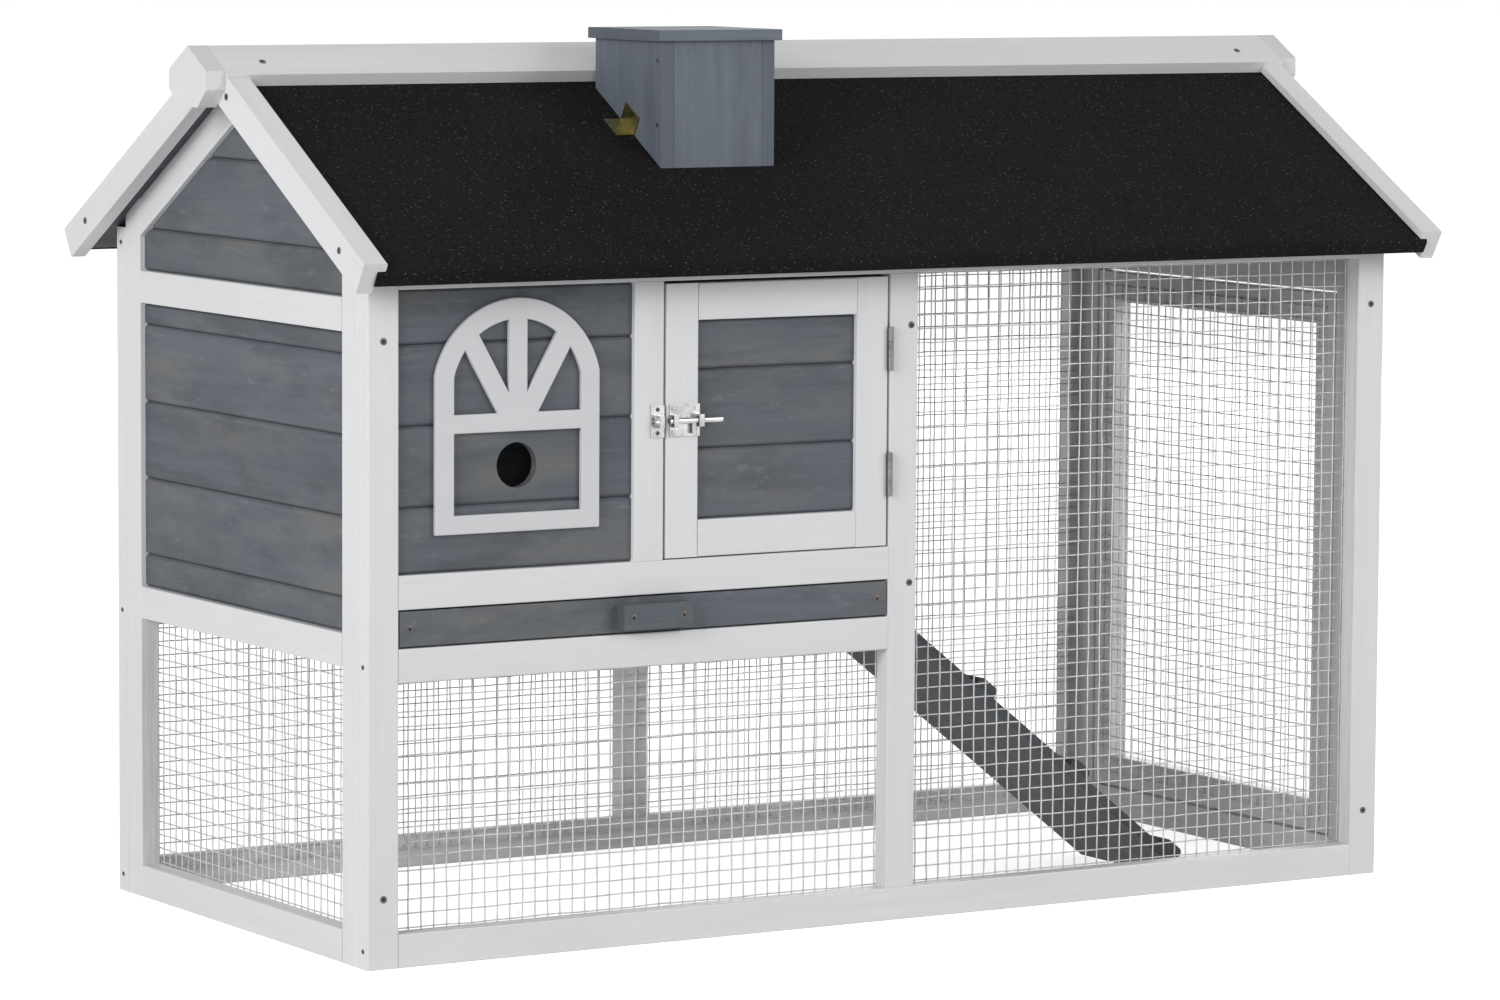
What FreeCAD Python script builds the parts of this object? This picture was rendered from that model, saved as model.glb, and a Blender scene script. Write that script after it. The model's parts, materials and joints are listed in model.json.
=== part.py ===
import FreeCAD, Part
import Sketcher

import math
import os
import re

# A gable-roofed rabbit hutch: a boarded house over a pull-out tray on the left, a wire run on
# the right and below, a ramp between them, a front door, a side door and a felted roof.
# Frame: +X right, +Y to the rear, +Z up. The origin is on the ground below the middle of the roof.

doc = FreeCAD.newDocument("rabbit_hutch")
sheet = doc.addObject("Spreadsheet::Sheet", "Sizes")

# Every independent size, in millimetres or degrees.
SIZES = [
    ("body_length", 1090, "outside of the left panel to outside of the right panel"),
    ("body_depth", 500, "outside of the front panel to outside of the rear panel"),
    ("wall_height", 622, "ground to the top of the front panel"),
    ("roof_slope", 30, "angle of both roof slopes"),
    ("member_width", 30, "width of every frame member"),
    ("member_thickness", 19, "thickness of every frame member"),
    ("post_offset", 3, "middle of the centre post, to the right of the origin"),
    ("door_post_from_left", 265.5, "left end to the near side of the door post"),
    ("tray_rail_height", 250, "ground to the underside of the tray rail"),
    ("floor_rail_height", 314, "ground to the underside of the rail above the tray"),
    ("side_floor_height", 261, "ground to the underside of the left floor rail"),
    ("side_eave_height", 554, "ground to the underside of the left eave rail"),
    ("side_head_height", 557, "ground to the underside of the right head rail"),
    ("board_pitch", 71, "height of one full cladding board"),
    ("board_thickness", 9, "thickness of a cladding board"),
    ("board_recess", 5.3, "cladding face behind the frame face"),
    ("board_bevel", 2.5, "bevel along each long edge of a board"),
    ("board_gap", 0.3, "joint between two boards"),
    ("front_joint_height", 402, "lowest board joint of the front wall"),
    ("side_joint_height", 321, "lowest board joint of the left wall"),
    ("gable_joint_height", 623, "lower board joint of each gable"),
    ("door_joint_height", 441.5, "lower board joint of the front door"),
    ("vent_from_left", 149.3, "left end to the middle of the vent hole"),
    ("vent_height", 435, "ground to the middle of the vent hole"),
    ("vent_radius", 20, "radius of the vent hole"),
    ("arch_from_left", 148.5, "left end to the middle of the arched trim"),
    ("arch_width", 164, "width of the arched trim"),
    ("arch_foot_height", 377, "ground to the foot of the arched trim"),
    ("arch_top_height", 582, "ground to the crown of the arched trim"),
    ("arch_radius", 84, "outside radius of the crown"),
    ("arch_bar", 18.5, "width of the bars of the arched trim"),
    ("arch_cross_height", 465, "ground to the underside of the cross bar"),
    ("arch_cross_bar", 16.5, "depth of the cross bar and the bottom bar"),
    ("arch_hub_height", 465, "ground to the point that the fan bars point at"),
    ("arch_fan_angle", 30, "lean of the two slanted fan bars"),
    ("arch_thickness", 4.8, "thickness of the arched trim"),
    ("door_gap", 2.5, "gap round each door"),
    ("door_member_width", 33, "width of the front door's frame members"),
    ("joint_gap", 0.2, "hairline joint between two pieces that butt"),
    ("mesh_pitch", 12.7, "spacing of the mesh wires"),
    ("wire_radius", 0.45, "radius of a mesh wire"),
    ("wire_gap", 0.05, "clearance between the layers of wire"),
    ("mesh_lap", 12, "lap of the mesh on the back of the frame"),
    ("deck_thickness", 12, "thickness of the roof boards"),
    ("felt_thickness", 2, "thickness of the roofing felt"),
    ("eave_overhang", 39, "roof boards beyond the front panel, at their underside"),
    ("gable_overhang", 15, "roof boards beyond each side panel"),
    ("barge_thickness", 15, "thickness of a bargeboard outside the roof boards"),
    ("barge_lip", 8, "bargeboard's lip over the felt"),
    ("barge_width", 30, "width of a bargeboard"),
    ("barge_rise", 8, "bargeboard above the felt"),
    ("barge_reach", 50, "tip of a bargeboard beyond the front panel"),
    ("cap_thickness", 12, "thickness of a ridge board"),
    ("cap_width", 43, "width of a ridge board"),
    ("end_block_thickness", 19, "thickness of an end block"),
    ("end_block_side", 17, "height of an end block's upright sides"),
    ("end_block_foot_half", 19.5, "half the width of an end block at its foot"),
    ("end_block_foot_height", 742, "ground to the foot of an end block"),
    ("chimney_from_left", 341.5, "left end to the left side of the chimney"),
    ("chimney_width", 119, "width and depth of the chimney"),
    ("chimney_front", 165, "front of the chimney, ahead of the ridge"),
    ("chimney_height", 801, "ground to the underside of the chimney cap"),
    ("chimney_board", 13, "thickness of a chimney board"),
    ("chimney_cap_thickness", 10, "thickness of the chimney cap"),
    ("chimney_cap_overhang", 5, "chimney cap beyond the chimney boards"),
    ("bracket_leg", 19, "length of each leg of a chimney bracket"),
    ("bracket_width", 27, "width of a chimney bracket"),
    ("bracket_thickness", 1.5, "thickness of a chimney bracket"),
    ("bracket_from_ridge", 106, "middle of a bracket, ahead of the ridge"),
    ("tray_gap", 1.5, "clearance round the tray"),
    ("tray_front_thickness", 14, "thickness of the tray front"),
    ("tray_front_setback", 1, "tray front behind the face of the frame"),
    ("tray_pan_height", 26, "outside height of the tray pan"),
    ("tray_wall", 3, "wall and base thickness of the tray pan"),
    ("tray_pan_inset", 8, "tray pan side inside the end of the tray front"),
    ("tray_pan_rear_gap", 6, "tray pan back to the inside of the rear panel"),
    ("handle_width", 71, "width of the tray handle"),
    ("handle_height", 22.5, "height of the tray handle"),
    ("handle_depth", 14, "projection of the tray handle"),
    ("handle_from_left", 284, "left end to the middle of the tray handle"),
    ("handle_lift", 3, "tray handle above the foot of the tray front"),
    ("runner_width", 20, "width of the tray runner"),
    ("runner_depth", 18, "depth of the tray runner"),
    ("partition_inset", 2, "partition boards inside the left face of the centre posts"),
    ("doorway_front", 17, "front panel's inside to the near side of the ramp doorway"),
    ("doorway_width", 192, "width of the ramp doorway"),
    ("doorway_head", 500, "ground to the head of the ramp doorway"),
    ("ramp_width", 184, "width of the ramp"),
    ("ramp_slope", 38.3, "angle of the ramp below level"),
    ("ramp_thickness", 9, "thickness of the ramp board"),
    ("ramp_top_height", 274, "ground to the ramp's pivot"),
    ("ramp_pivot_gap", 8, "partition rail to the ramp's pivot"),
    ("ramp_pin_radius", 2.5, "radius of the ramp's pivot rod"),
    ("ramp_eye_radius", 5.5, "outside radius of the ramp's eyes"),
    ("ramp_eye_width", 18, "width of each eye"),
    ("ramp_eye_inset", 12, "edge of the ramp to an eye"),
    ("ramp_strap_length", 30, "strap of an eye, along the ramp board"),
    ("ramp_strap_thickness", 2, "thickness of an eye's strap"),
    ("ramp_top_gap", 3, "ramp board to the barrels of its eyes"),
    ("ramp_foot_gap", 1, "ground to the foot of the ramp"),
    ("hanger_thickness", 4, "thickness of the plates that carry the pivot rod"),
    ("hanger_gap", 2, "ramp to the plates that carry the pivot rod"),
    ("hanger_height", 17, "height of those plates"),
    ("hanger_rim", 3.5, "plate around the pivot rod"),
    ("cleat_pitch", 135, "distance between the ramp's cleats"),
    ("cleat_from_foot", 35, "foot of the ramp to the middle of the lowest cleat"),
    ("cleat_width", 24, "width of a cleat, along the ramp"),
    ("cleat_inset", 4, "edge of the ramp to the end of a cleat"),
    ("cleat_height", 10, "height of a cleat"),
    ("cleat_round", 5, "rounding of a cleat's upper edges"),
    ("hinge_height", 40, "height of a butt hinge"),
    ("knuckle_radius", 2.6, "outside radius of a hinge knuckle"),
    ("pin_radius", 1, "radius of a hinge pin"),
    ("pin_play", 0.3, "clearance round a pin or a bolt"),
    ("knuckle_gap", 0.4, "clearance between two hinge knuckles, end to end"),
    ("leaf_thickness", 1, "thickness of a hinge leaf"),
    ("leaf_depth", 15, "depth of a hinge leaf, from the face of the frame"),
    ("hinge_from_door_end", 65, "middle of a front hinge from the end of the door"),
    ("side_hinge_from_end", 80, "middle of a side hinge from the end of its door"),
    ("bolt_height", 468, "ground to the front bolt"),
    ("side_bolt_height", 300, "ground to the side bolt"),
    ("bolt_radius", 3, "radius of a bolt"),
    ("bolt_length", 54, "length of a bolt"),
    ("bolt_throw", 15, "travel of the front bolt"),
    ("side_bolt_throw", 13, "travel of the side bolt"),
    ("bolt_stand_off", 5, "bolt axis in front of its plate"),
    ("plate_thickness", 1.2, "thickness of bolt plates and keepers"),
    ("plate_height", 29, "height of bolt plates and keepers"),
    ("plate_inset", 3, "front bolt's plate inside the edge of its door"),
    ("side_plate_inset", 1, "side bolt's plate inside the edge of its door"),
    ("keeper_width", 14, "width of a keeper"),
    ("guide_width", 5, "width of a bolt guide"),
    ("guide_height", 11, "height of a bolt guide"),
    ("guide_wall", 1.5, "metal of a guide in front of its bolt"),
    ("knob_radius", 2.2, "radius of a bolt's knob"),
    ("knob_length", 12, "length of a bolt's knob below its axis"),
    ("knob_play", 0.8, "knob to the guides at both ends of its travel"),
    ("screw_radius", 3.2, "radius of a screw head"),
    ("screw_height", 0.8, "height of a screw head"),
    ("small_screw_radius", 2.2, "radius of a small screw head"),
    ("plate_screw_radius", 1.9, "radius of a screw head on a bolt plate"),
    ("plate_screw_inset", 4, "middle of a plate's screw inside the plate's edges"),
    ("stile_screw_drop", 74, "top of a front stile to its upper screw"),
    ("stile_screw_height", 62, "ground to a stile's lower screw"),
    ("post_screw_drop", 77, "top of a centre post to its upper screw"),
    ("post_screw_offset", 7.5, "middle of a centre post to its screws"),
    ("edge_screw_drop", 14, "top of a stile to the upper screw in its edge"),
    ("edge_screw_height", 16, "ground to the lower screw in a stile's edge"),
    ("edge_screw_middle", 265, "ground to the middle screw in a stile's edge"),
    ("barge_screw_inset", 46, "tip of a bargeboard to its lower screw, in plan"),
    ("barge_screw_near", 39, "ridge to the upper screw of a bargeboard, in plan"),
    ("ridge_screw_inset", 43, "end of a ridge board to its screw"),
    ("chimney_screw_drop", 17, "top of a chimney side to its upper screw"),
    ("chimney_screw_pitch", 58, "distance between the two screws of a chimney side"),
    ("tray_screw_inset", 10, "end of the tray front to its screw"),
    ("handle_screw_offset", 26, "middle of the tray handle to each of its screws"),
]

# Sizes that follow from the others.
FOLLOWING = [
    ("half_length", "body_length / 2"),
    ("half_depth", "body_depth / 2"),
    ("rise", "tan(roof_slope)"),
    ("steep", "cos(roof_slope)"),
    ("inside_front", "half_depth - member_thickness"),
    ("inside_side", "half_length - member_thickness"),
    ("stile_inside", "inside_front - member_width"),
    ("rail_end", "half_length - member_width"),
    ("top_rail_height", "wall_height - member_width"),
    ("ridge_underside", "wall_height + half_depth * rise"),
    ("roof_thickness", "deck_thickness + felt_thickness"),
    ("felt_apex", "ridge_underside + roof_thickness / steep"),
    ("rafter_drop", "member_width / steep"),
    ("post_left", "post_offset - member_width / 2"),
    ("post_right", "post_offset + member_width / 2"),
    ("door_post_left", "door_post_from_left - half_length"),
    ("door_post_right", "door_post_left + member_width"),
    ("tray_rail_top", "tray_rail_height + member_width"),
    ("floor_rail_top", "floor_rail_height + member_width"),
    ("side_floor_top", "side_floor_height + member_width"),
    ("side_eave_top", "side_eave_height + member_width"),
    ("side_head_top", "side_head_height + member_width"),
    ("door_left", "door_post_right + door_gap"),
    ("door_right", "post_left - door_gap"),
    ("door_bottom", "floor_rail_top + door_gap / 2"),
    ("mesh_depth", "4 * wire_radius + 3 * wire_gap"),
    ("mesh_front", "inside_front - mesh_depth"),
    ("door_top", "top_rail_height - door_gap"),
    ("side_door_half", "stile_inside - door_gap"),
    ("side_door_bottom", "member_width + door_gap"),
    ("side_door_top", "side_head_height - door_gap"),
    ("barge_outside", "half_length + gable_overhang + barge_thickness"),
    ("barge_apex", "felt_apex + barge_rise / steep"),
    ("barge_screw_reach", "half_depth + barge_reach - barge_screw_inset"),
    ("cap_apex", "felt_apex + cap_thickness / steep"),
    ("cap_half", "cap_width * steep"),
    ("shoulder_height", "cap_apex - cap_half * rise"),
    ("arch_middle", "arch_from_left - half_length"),
    ("arch_centre_height", "arch_top_height - arch_radius"),
    ("vent_middle", "vent_from_left - half_length"),
    ("cladding_front", "half_depth - board_recess"),
    ("cladding_side", "half_length - board_recess"),
    ("chimney_left", "chimney_from_left - half_length"),
    ("chimney_rear", "chimney_front - chimney_width"),
    ("tray_bottom", "tray_rail_top + tray_gap"),
    ("tray_left", "tray_gap - rail_end"),
    ("tray_right", "post_left - tray_gap"),
    ("tray_face", "half_depth - tray_front_setback"),
    ("pan_front", "tray_face - tray_front_thickness"),
    ("pan_depth", "pan_front + inside_front - tray_pan_rear_gap"),
    ("pan_width", "tray_right - tray_left - 2 * tray_pan_inset"),
    ("handle_middle", "handle_from_left - half_length"),
    ("handle_bottom", "tray_bottom + handle_lift"),
    ("tray_middle_height", "(tray_bottom + floor_rail_height - tray_gap) / 2"),
    ("bolt_depth", "bolt_stand_off + bolt_radius + guide_wall"),
    ("knob_room", "2 * (knob_radius + knob_play)"),
    ("plate_width", "2 * guide_width + bolt_throw + knob_room"),
    ("side_plate_width", "2 * guide_width + side_bolt_throw + knob_room"),
    ("partition_right", "post_left + board_thickness + partition_inset"),
    ("ramp_pivot", "post_right + ramp_pivot_gap"),
    ("ramp_foot_drop", "ramp_thickness * cos(ramp_slope) + ramp_foot_gap"),
    ("ramp_length", "(ramp_top_height - ramp_foot_drop) / sin(ramp_slope)"),
    ("ramp_board_start", "ramp_eye_radius + ramp_top_gap"),
    ("doorway_near", "doorway_front - inside_front"),
    ("doorway_far", "doorway_near + doorway_width"),
    ("ramp_near", "doorway_near + (doorway_width - ramp_width) / 2"),
    ("hinge_middle", "post_left - door_gap / 2"),
    ("hinge_front", "half_depth + knuckle_radius + pin_play"),
    ("side_hinge_middle", "stile_inside - door_gap / 2"),
    ("side_hinge_out", "half_length + knuckle_radius + pin_play"),
    ("bolt_front", "half_depth + bolt_stand_off"),
    ("side_bolt_out", "half_length + bolt_stand_off"),
    ("knuckle_length", "hinge_height / 3"),
    ("bore_radius", "pin_radius + pin_play"),
    ("guide_bore", "bolt_radius + pin_play"),
]

FUNCTIONS = ("tan", "cos", "sin", "floor")
SEED = 10  # rough start for a sketch's lines, before its constraints set them
X_AXIS = FreeCAD.Vector(1, 0, 0)
Y_AXIS = FreeCAD.Vector(0, 1, 0)
Z_AXIS = FreeCAD.Vector(0, 0, 1)
nodes = {}


def link(text):
    """Write a sum of size names the way a property's expression needs it."""
    def full(word):
        return word.group() if word.group() in FUNCTIONS else "Sizes." + word.group()
    return re.sub(r"[a-z][a-z_]*", full, text)


def bind(thing, path, text):
    thing.setExpression(path, link(text))


def place(thing, low):
    for axis, text in zip("xyz", low):
        bind(thing, f"Placement.Base.{axis}", text)


def block(name, low, size):
    """An upright block from its lowest corner and its three sizes."""
    thing = doc.addObject("Part::Box", name)
    for side, text in zip(("Length", "Width", "Height"), size):
        bind(thing, side, text)
    place(thing, low)
    return thing


def span(name, low, high):
    """An upright block between its lowest and highest corners."""
    return block(name, low, [f"({b}) - ({a})" for a, b in zip(low, high)])


def turned(thing, axis, angle):
    thing.Placement.Rotation = FreeCAD.Rotation(axis, 1)
    bind(thing, "Placement.Rotation.Angle", angle)
    return thing


def rod(name, start, radius, length, along="z"):
    """A round bar along one axis; along -y and -z it runs the other way."""
    thing = doc.addObject("Part::Cylinder", name)
    bind(thing, "Radius", radius)
    bind(thing, "Height", length)
    axis, angle = {
        "x": (Y_AXIS, "90"), "-x": (Y_AXIS, "-90"), "y": (X_AXIS, "-90"), "-y": (X_AXIS, "90"),
        "z": (Z_AXIS, "0"), "-z": (X_AXIS, "180")}[along]
    if along != "z":
        turned(thing, axis, angle)
    place(thing, start)
    return thing


def prism(name, plane, points, start, length):
    """A straight prism: a closed outline on an origin plane, padded along the plane's axis."""
    body = doc.addObject("PartDesign::Body", name)
    sketch = body.newObject("Sketcher::SketchObject", name + "_outline")
    origin_plane = [p for p in body.Origin.OriginFeatures if p.Role == plane][0]
    sketch.AttachmentSupport = [(origin_plane, "")]
    sketch.MapMode = "FlatFace"
    count = len(points)
    for i in range(count):
        a, b = (2 * math.pi * k / count for k in (i, i + 1))
        sketch.addGeometry(Part.LineSegment(
            FreeCAD.Vector(SEED * math.cos(a), SEED * math.sin(a), 0),
            FreeCAD.Vector(SEED * math.cos(b), SEED * math.sin(b), 0)), False)
    for i in range(count):
        sketch.addConstraint(Sketcher.Constraint("Coincident", i, 2, (i + 1) % count, 1))
    for i, point in enumerate(points):
        for kind, text, axis in zip(("DistanceX", "DistanceY"), point, (-2, -1)):
            if text == "0":
                sketch.addConstraint(Sketcher.Constraint("PointOnObject", i, 1, axis))
            else:
                row = sketch.addConstraint(Sketcher.Constraint(kind, -1, 1, i, 1, SEED + i))
                bind(sketch, f"Constraints[{row}]", text)
    pad = body.newObject("PartDesign::Pad", name + "_pad")
    pad.Profile = sketch
    bind(pad, "Length", length)
    pad.Reversed = plane == "XZ_Plane"
    body.Tip = pad
    axis = {"YZ_Plane": "x", "XZ_Plane": "y", "XY_Plane": "z"}[plane]
    bind(body, f"Placement.Base.{axis}", start)
    return body


def cut(name, base, tool):
    thing = doc.addObject("Part::Cut", name)
    thing.Base, thing.Tool = base, tool
    return thing


def shared(name, base, tool):
    thing = doc.addObject("Part::Common", name)
    thing.Base, thing.Tool = base, tool
    return thing


def fused(name, pieces):
    thing = doc.addObject("Part::MultiFuse", name)
    thing.Shapes = pieces
    return thing


def group(name, pieces):
    thing = doc.addObject("Part::Compound", name)
    thing.Links = pieces
    return thing


def mirrored(name, source, normal):
    thing = doc.addObject("Part::Mirroring", name)
    thing.Source = source
    thing.Normal = normal
    return thing


def node(label, thing):
    """Name a finished sub-part. A list becomes one sub-part of separate solids."""
    if isinstance(thing, list):
        thing = group(label, thing)
    thing.Label = label
    nodes[label] = thing


def wires(name, plane, centre, along, count, start, length):
    """A row of parallel wires: one wire on an origin plane, padded, then patterned along an axis."""
    body = doc.addObject("PartDesign::Body", name)
    body.AllowCompound = True
    features = {f.Role: f for f in body.Origin.OriginFeatures}
    sketch = body.newObject("Sketcher::SketchObject", name + "_section")
    sketch.AttachmentSupport = [(features[plane], "")]
    sketch.MapMode = "FlatFace"
    sketch.addGeometry(Part.Circle(FreeCAD.Vector(SEED, SEED, 0), Z_AXIS, SEED), False)
    for kind, spot, text in (("Radius", (0,), "wire_radius"), ("DistanceX", (-1, 1, 0, 3), centre[0]),
                             ("DistanceY", (-1, 1, 0, 3), centre[1])):
        row = sketch.addConstraint(Sketcher.Constraint(kind, *spot, SEED))
        bind(sketch, f"Constraints[{row}]", text)
    pad = body.newObject("PartDesign::Pad", name + "_wire")
    pad.Profile = sketch
    bind(pad, "Length", length)
    pad.Reversed = plane == "XZ_Plane"
    row_of_wires = body.newObject("PartDesign::LinearPattern", name + "_row")
    row_of_wires.Originals = [pad]
    row_of_wires.Direction = (features[along + "_Axis"], [""])
    bind(row_of_wires, "Occurrences", f"floor(({count}) / mesh_pitch) + 1")
    bind(row_of_wires, "Length", f"floor(({count}) / mesh_pitch) * mesh_pitch")
    body.Tip = row_of_wires
    axis = {"YZ_Plane": "x", "XZ_Plane": "y", "XY_Plane": "z"}[plane]
    bind(body, f"Placement.Base.{axis}", start)
    return body


def mesh_panel(label, facing, plane, low, high):
    """Welded mesh: upright wires against the frame at plane, level wires on their inner side.

    facing says which way the mesh looks out: -y, y, -x or x. low and high are (sideways, height)."""
    sign = "-" if facing.startswith("-") else "+"
    uprights = f"{plane} {'+' if sign == '-' else '-'} (wire_radius + wire_gap)"
    levels = f"{plane} {'+' if sign == '-' else '-'} (3 * wire_radius + 2 * wire_gap)"
    (left, bottom), (right, top) = low, high
    wide, tall = f"({right}) - ({left}) - 2 * wire_radius", f"({top}) - ({bottom}) - 2 * wire_radius"
    first, lowest = f"{left} + wire_radius", f"{bottom} + wire_radius"
    length, height = f"({right}) - ({left})", f"({top}) - ({bottom})"
    if facing.endswith("y"):
        rows = [wires(label + "_upright", "XY_Plane", (first, uprights), "X", wide, bottom, height),
                wires(label + "_level", "YZ_Plane", (levels, lowest), "Z", tall, left, length)]
    else:
        rows = [wires(label + "_upright", "XY_Plane", (uprights, first), "Y", wide, bottom, height),
                wires(label + "_level", "XZ_Plane", (levels, lowest), "Z", tall, left, length)]
    node(label, rows)


def board_outline(face, back, low, high):
    """A board's section: both long edges of its face are bevelled. face may be past back."""
    lean = "+" if face.startswith("-") else "-"
    inner = f"{face} {lean} board_bevel"
    return [(face, f"{low} + board_bevel"), (face, f"{high} - board_bevel"), (inner, high),
            (back, high), (back, low), (inner, low)]


def cladding(name, plane, face, back, joints, start, length):
    """Boards one above the other; joints are the heights of the edges, from low to high."""
    boards = []
    for i, (low, high) in enumerate(zip(joints, joints[1:])):
        outline = board_outline(face, back, f"{low} + board_gap / 2", f"{high} - board_gap / 2")
        boards.append(prism(f"{name}_{i + 1}", plane, outline, start, length))
    return boards


# Sizes sheet.
for row, (alias, value, note) in enumerate(SIZES, start=1):
    sheet.set(f"A{row}", note)
    sheet.set(f"B{row}", str(value))
    sheet.setAlias(f"B{row}", alias)
for row, (alias, text) in enumerate(FOLLOWING, start=len(SIZES) + 1):
    sheet.set(f"A{row}", "follows")
    sheet.set(f"B{row}", "=" + text)
    sheet.setAlias(f"B{row}", alias)
doc.recompute()

# Front panel: two stiles to the ground, rails and posts between them.
front, inner_front = "-half_depth", "-inside_front"
node("front_left_stile", span(
    "front_left", ("-half_length", front, "0"), ("-rail_end", inner_front, "wall_height")))
node("front_right_stile", span(
    "front_right", ("rail_end", front, "0"), ("half_length", inner_front, "wall_height")))
node("front_rails", [
    span("front_base", ("-rail_end", front, "0"), ("rail_end", inner_front, "member_width")),
    span("front_tray_rail", ("-rail_end", front, "tray_rail_height"),
         ("post_left", inner_front, "tray_rail_top")),
    span("front_floor_rail", ("-rail_end", front, "floor_rail_height"),
         ("post_left", inner_front, "floor_rail_top")),
    span("front_top", ("-rail_end", front, "top_rail_height"),
         ("rail_end", inner_front, "wall_height")),
])
node("front_centre_post", span(
    "front_centre", ("post_left", front, "member_width"),
    ("post_right", inner_front, "top_rail_height")))
node("front_door_post", span(
    "door_post", ("door_post_left", front, "floor_rail_top"),
    ("door_post_right", inner_front, "top_rail_height")))

# Front cladding beside the door, with the vent hole in its second board.
front_joints = ["floor_rail_top", "front_joint_height", "front_joint_height + board_pitch",
                "front_joint_height + 2 * board_pitch", "top_rail_height"]
window_boards = cladding(
    "window_board", "YZ_Plane", "-cladding_front", "board_thickness - cladding_front",
    front_joints, "-rail_end", "door_post_left + rail_end")
vent_hole = rod(
    "vent_hole", ("vent_middle", "-half_depth", "vent_height"),
    "vent_radius", "member_thickness", "y")
node("vent_board", cut("vent_board_cut", window_boards.pop(1), vent_hole))
node("window_boards", window_boards)

# Arched trim round the vent: an outline less its openings, and the openings less the bars.
trim_front, trim_back = "-cladding_front - arch_thickness", "-cladding_front"


def arch_fill(name, inset):
    """The arched outline, drawn in by inset on all sides but the foot."""
    crown = rod(f"{name}_crown", ("arch_middle", trim_front, "arch_centre_height"),
                f"arch_radius - {inset}", "arch_thickness", "y")
    sides = span(
        f"{name}_sides",
        (f"arch_middle - arch_width / 2 + {inset}", trim_front, "arch_centre_height"),
        (f"arch_middle + arch_width / 2 - {inset}", trim_back, "arch_top_height"))
    foot = span(
        f"{name}_foot",
        (f"arch_middle - arch_width / 2 + {inset}", trim_front, "arch_foot_height"),
        (f"arch_middle + arch_width / 2 - {inset}", trim_back, "arch_centre_height"))
    return fused(f"{name}_fill", [shared(f"{name}_top", crown, sides), foot])


bars = [
    span("arch_bottom_bar", ("arch_middle - arch_width / 2", trim_front, "arch_foot_height"),
         ("arch_middle + arch_width / 2", trim_back, "arch_foot_height + arch_cross_bar")),
    span("arch_cross_bar", ("arch_middle - arch_width / 2", trim_front, "arch_cross_height"),
         ("arch_middle + arch_width / 2", trim_back, "arch_cross_height + arch_cross_bar")),
    span("arch_mullion", ("arch_middle - arch_bar / 2", trim_front, "arch_cross_height"),
         ("arch_middle + arch_bar / 2", trim_back, "arch_top_height")),
]
for side, sign, lift in (("left", "-", "-"), ("right", "", "+")):
    lean = block(f"arch_fan_{side}", ("0", "0", "0"), ("arch_bar", "arch_thickness", "arch_width"))
    turned(lean, Y_AXIS, f"{sign}arch_fan_angle")
    place(lean, ("arch_middle - arch_bar / 2 * cos(arch_fan_angle)", trim_front,
                 f"arch_hub_height {lift} arch_bar / 2 * sin(arch_fan_angle)"))
    above_cross = span(
        f"arch_fan_limit_{side}", ("arch_middle - arch_width", trim_front, "arch_cross_height"),
        ("arch_middle + arch_width", trim_back, "arch_top_height + arch_width"))
    bars.append(shared(f"arch_fan_bar_{side}", lean, above_cross))
openings = cut("arch_openings", arch_fill("arch_inside", "arch_bar"), fused("arch_bars", bars))
node("arched_window_trim", cut("arch_trim_cut", arch_fill("arch_outside", "0"), openings))

# Left panel: stiles up to the roof, three rails, cladding above the floor rail.
side_stile = [("-inside_front", "0"), ("-stile_inside", "0"),
              ("-stile_inside", "ridge_underside - stile_inside * rise"),
              ("-inside_front", "ridge_underside - inside_front * rise")]
top_joint = "-joint_gap / 2"
rafter = [("-stile_inside", "ridge_underside - stile_inside * rise"),
          (top_joint, "ridge_underside - joint_gap / 2 * rise"),
          (top_joint, "ridge_underside - rafter_drop - joint_gap / 2 * rise"),
          ("-stile_inside", "ridge_underside - rafter_drop - stile_inside * rise")]
rafters = []
for side, start in (("left", "-half_length"), ("right", "inside_side")):
    near = prism(f"{side}_stile_near", "YZ_Plane", side_stile, start, "member_thickness")
    node(f"{side}_stiles", [near, mirrored(f"{side}_stile_far", near, Y_AXIS)])
    low_rafter = prism(f"{side}_rafter_near", "YZ_Plane", rafter, start, "member_thickness")
    rafters += [low_rafter, mirrored(f"{side}_rafter_far", low_rafter, Y_AXIS)]
node("gable_rafters", rafters)


def side_rail(name, start, low):
    return block(name, (start, "-stile_inside", low),
                 ("member_thickness", "2 * stile_inside", "member_width"))


node("left_rails", [side_rail("left_base", "-half_length", "0"),
                    side_rail("left_floor", "-half_length", "side_floor_height"),
                    side_rail("left_eave", "-half_length", "side_eave_height")])
node("right_rails", [side_rail("right_base", "inside_side", "0"),
                     side_rail("right_head", "inside_side", "side_head_height")])
side_joints = ["side_floor_top", "side_joint_height", "side_joint_height + board_pitch",
               "side_joint_height + 2 * board_pitch", "side_joint_height + 3 * board_pitch",
               "side_eave_height"]
node("left_wall_boards", cladding(
    "left_board", "XZ_Plane", "-cladding_side", "board_thickness - cladding_side",
    side_joints, "-stile_inside", "2 * stile_inside"))

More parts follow.
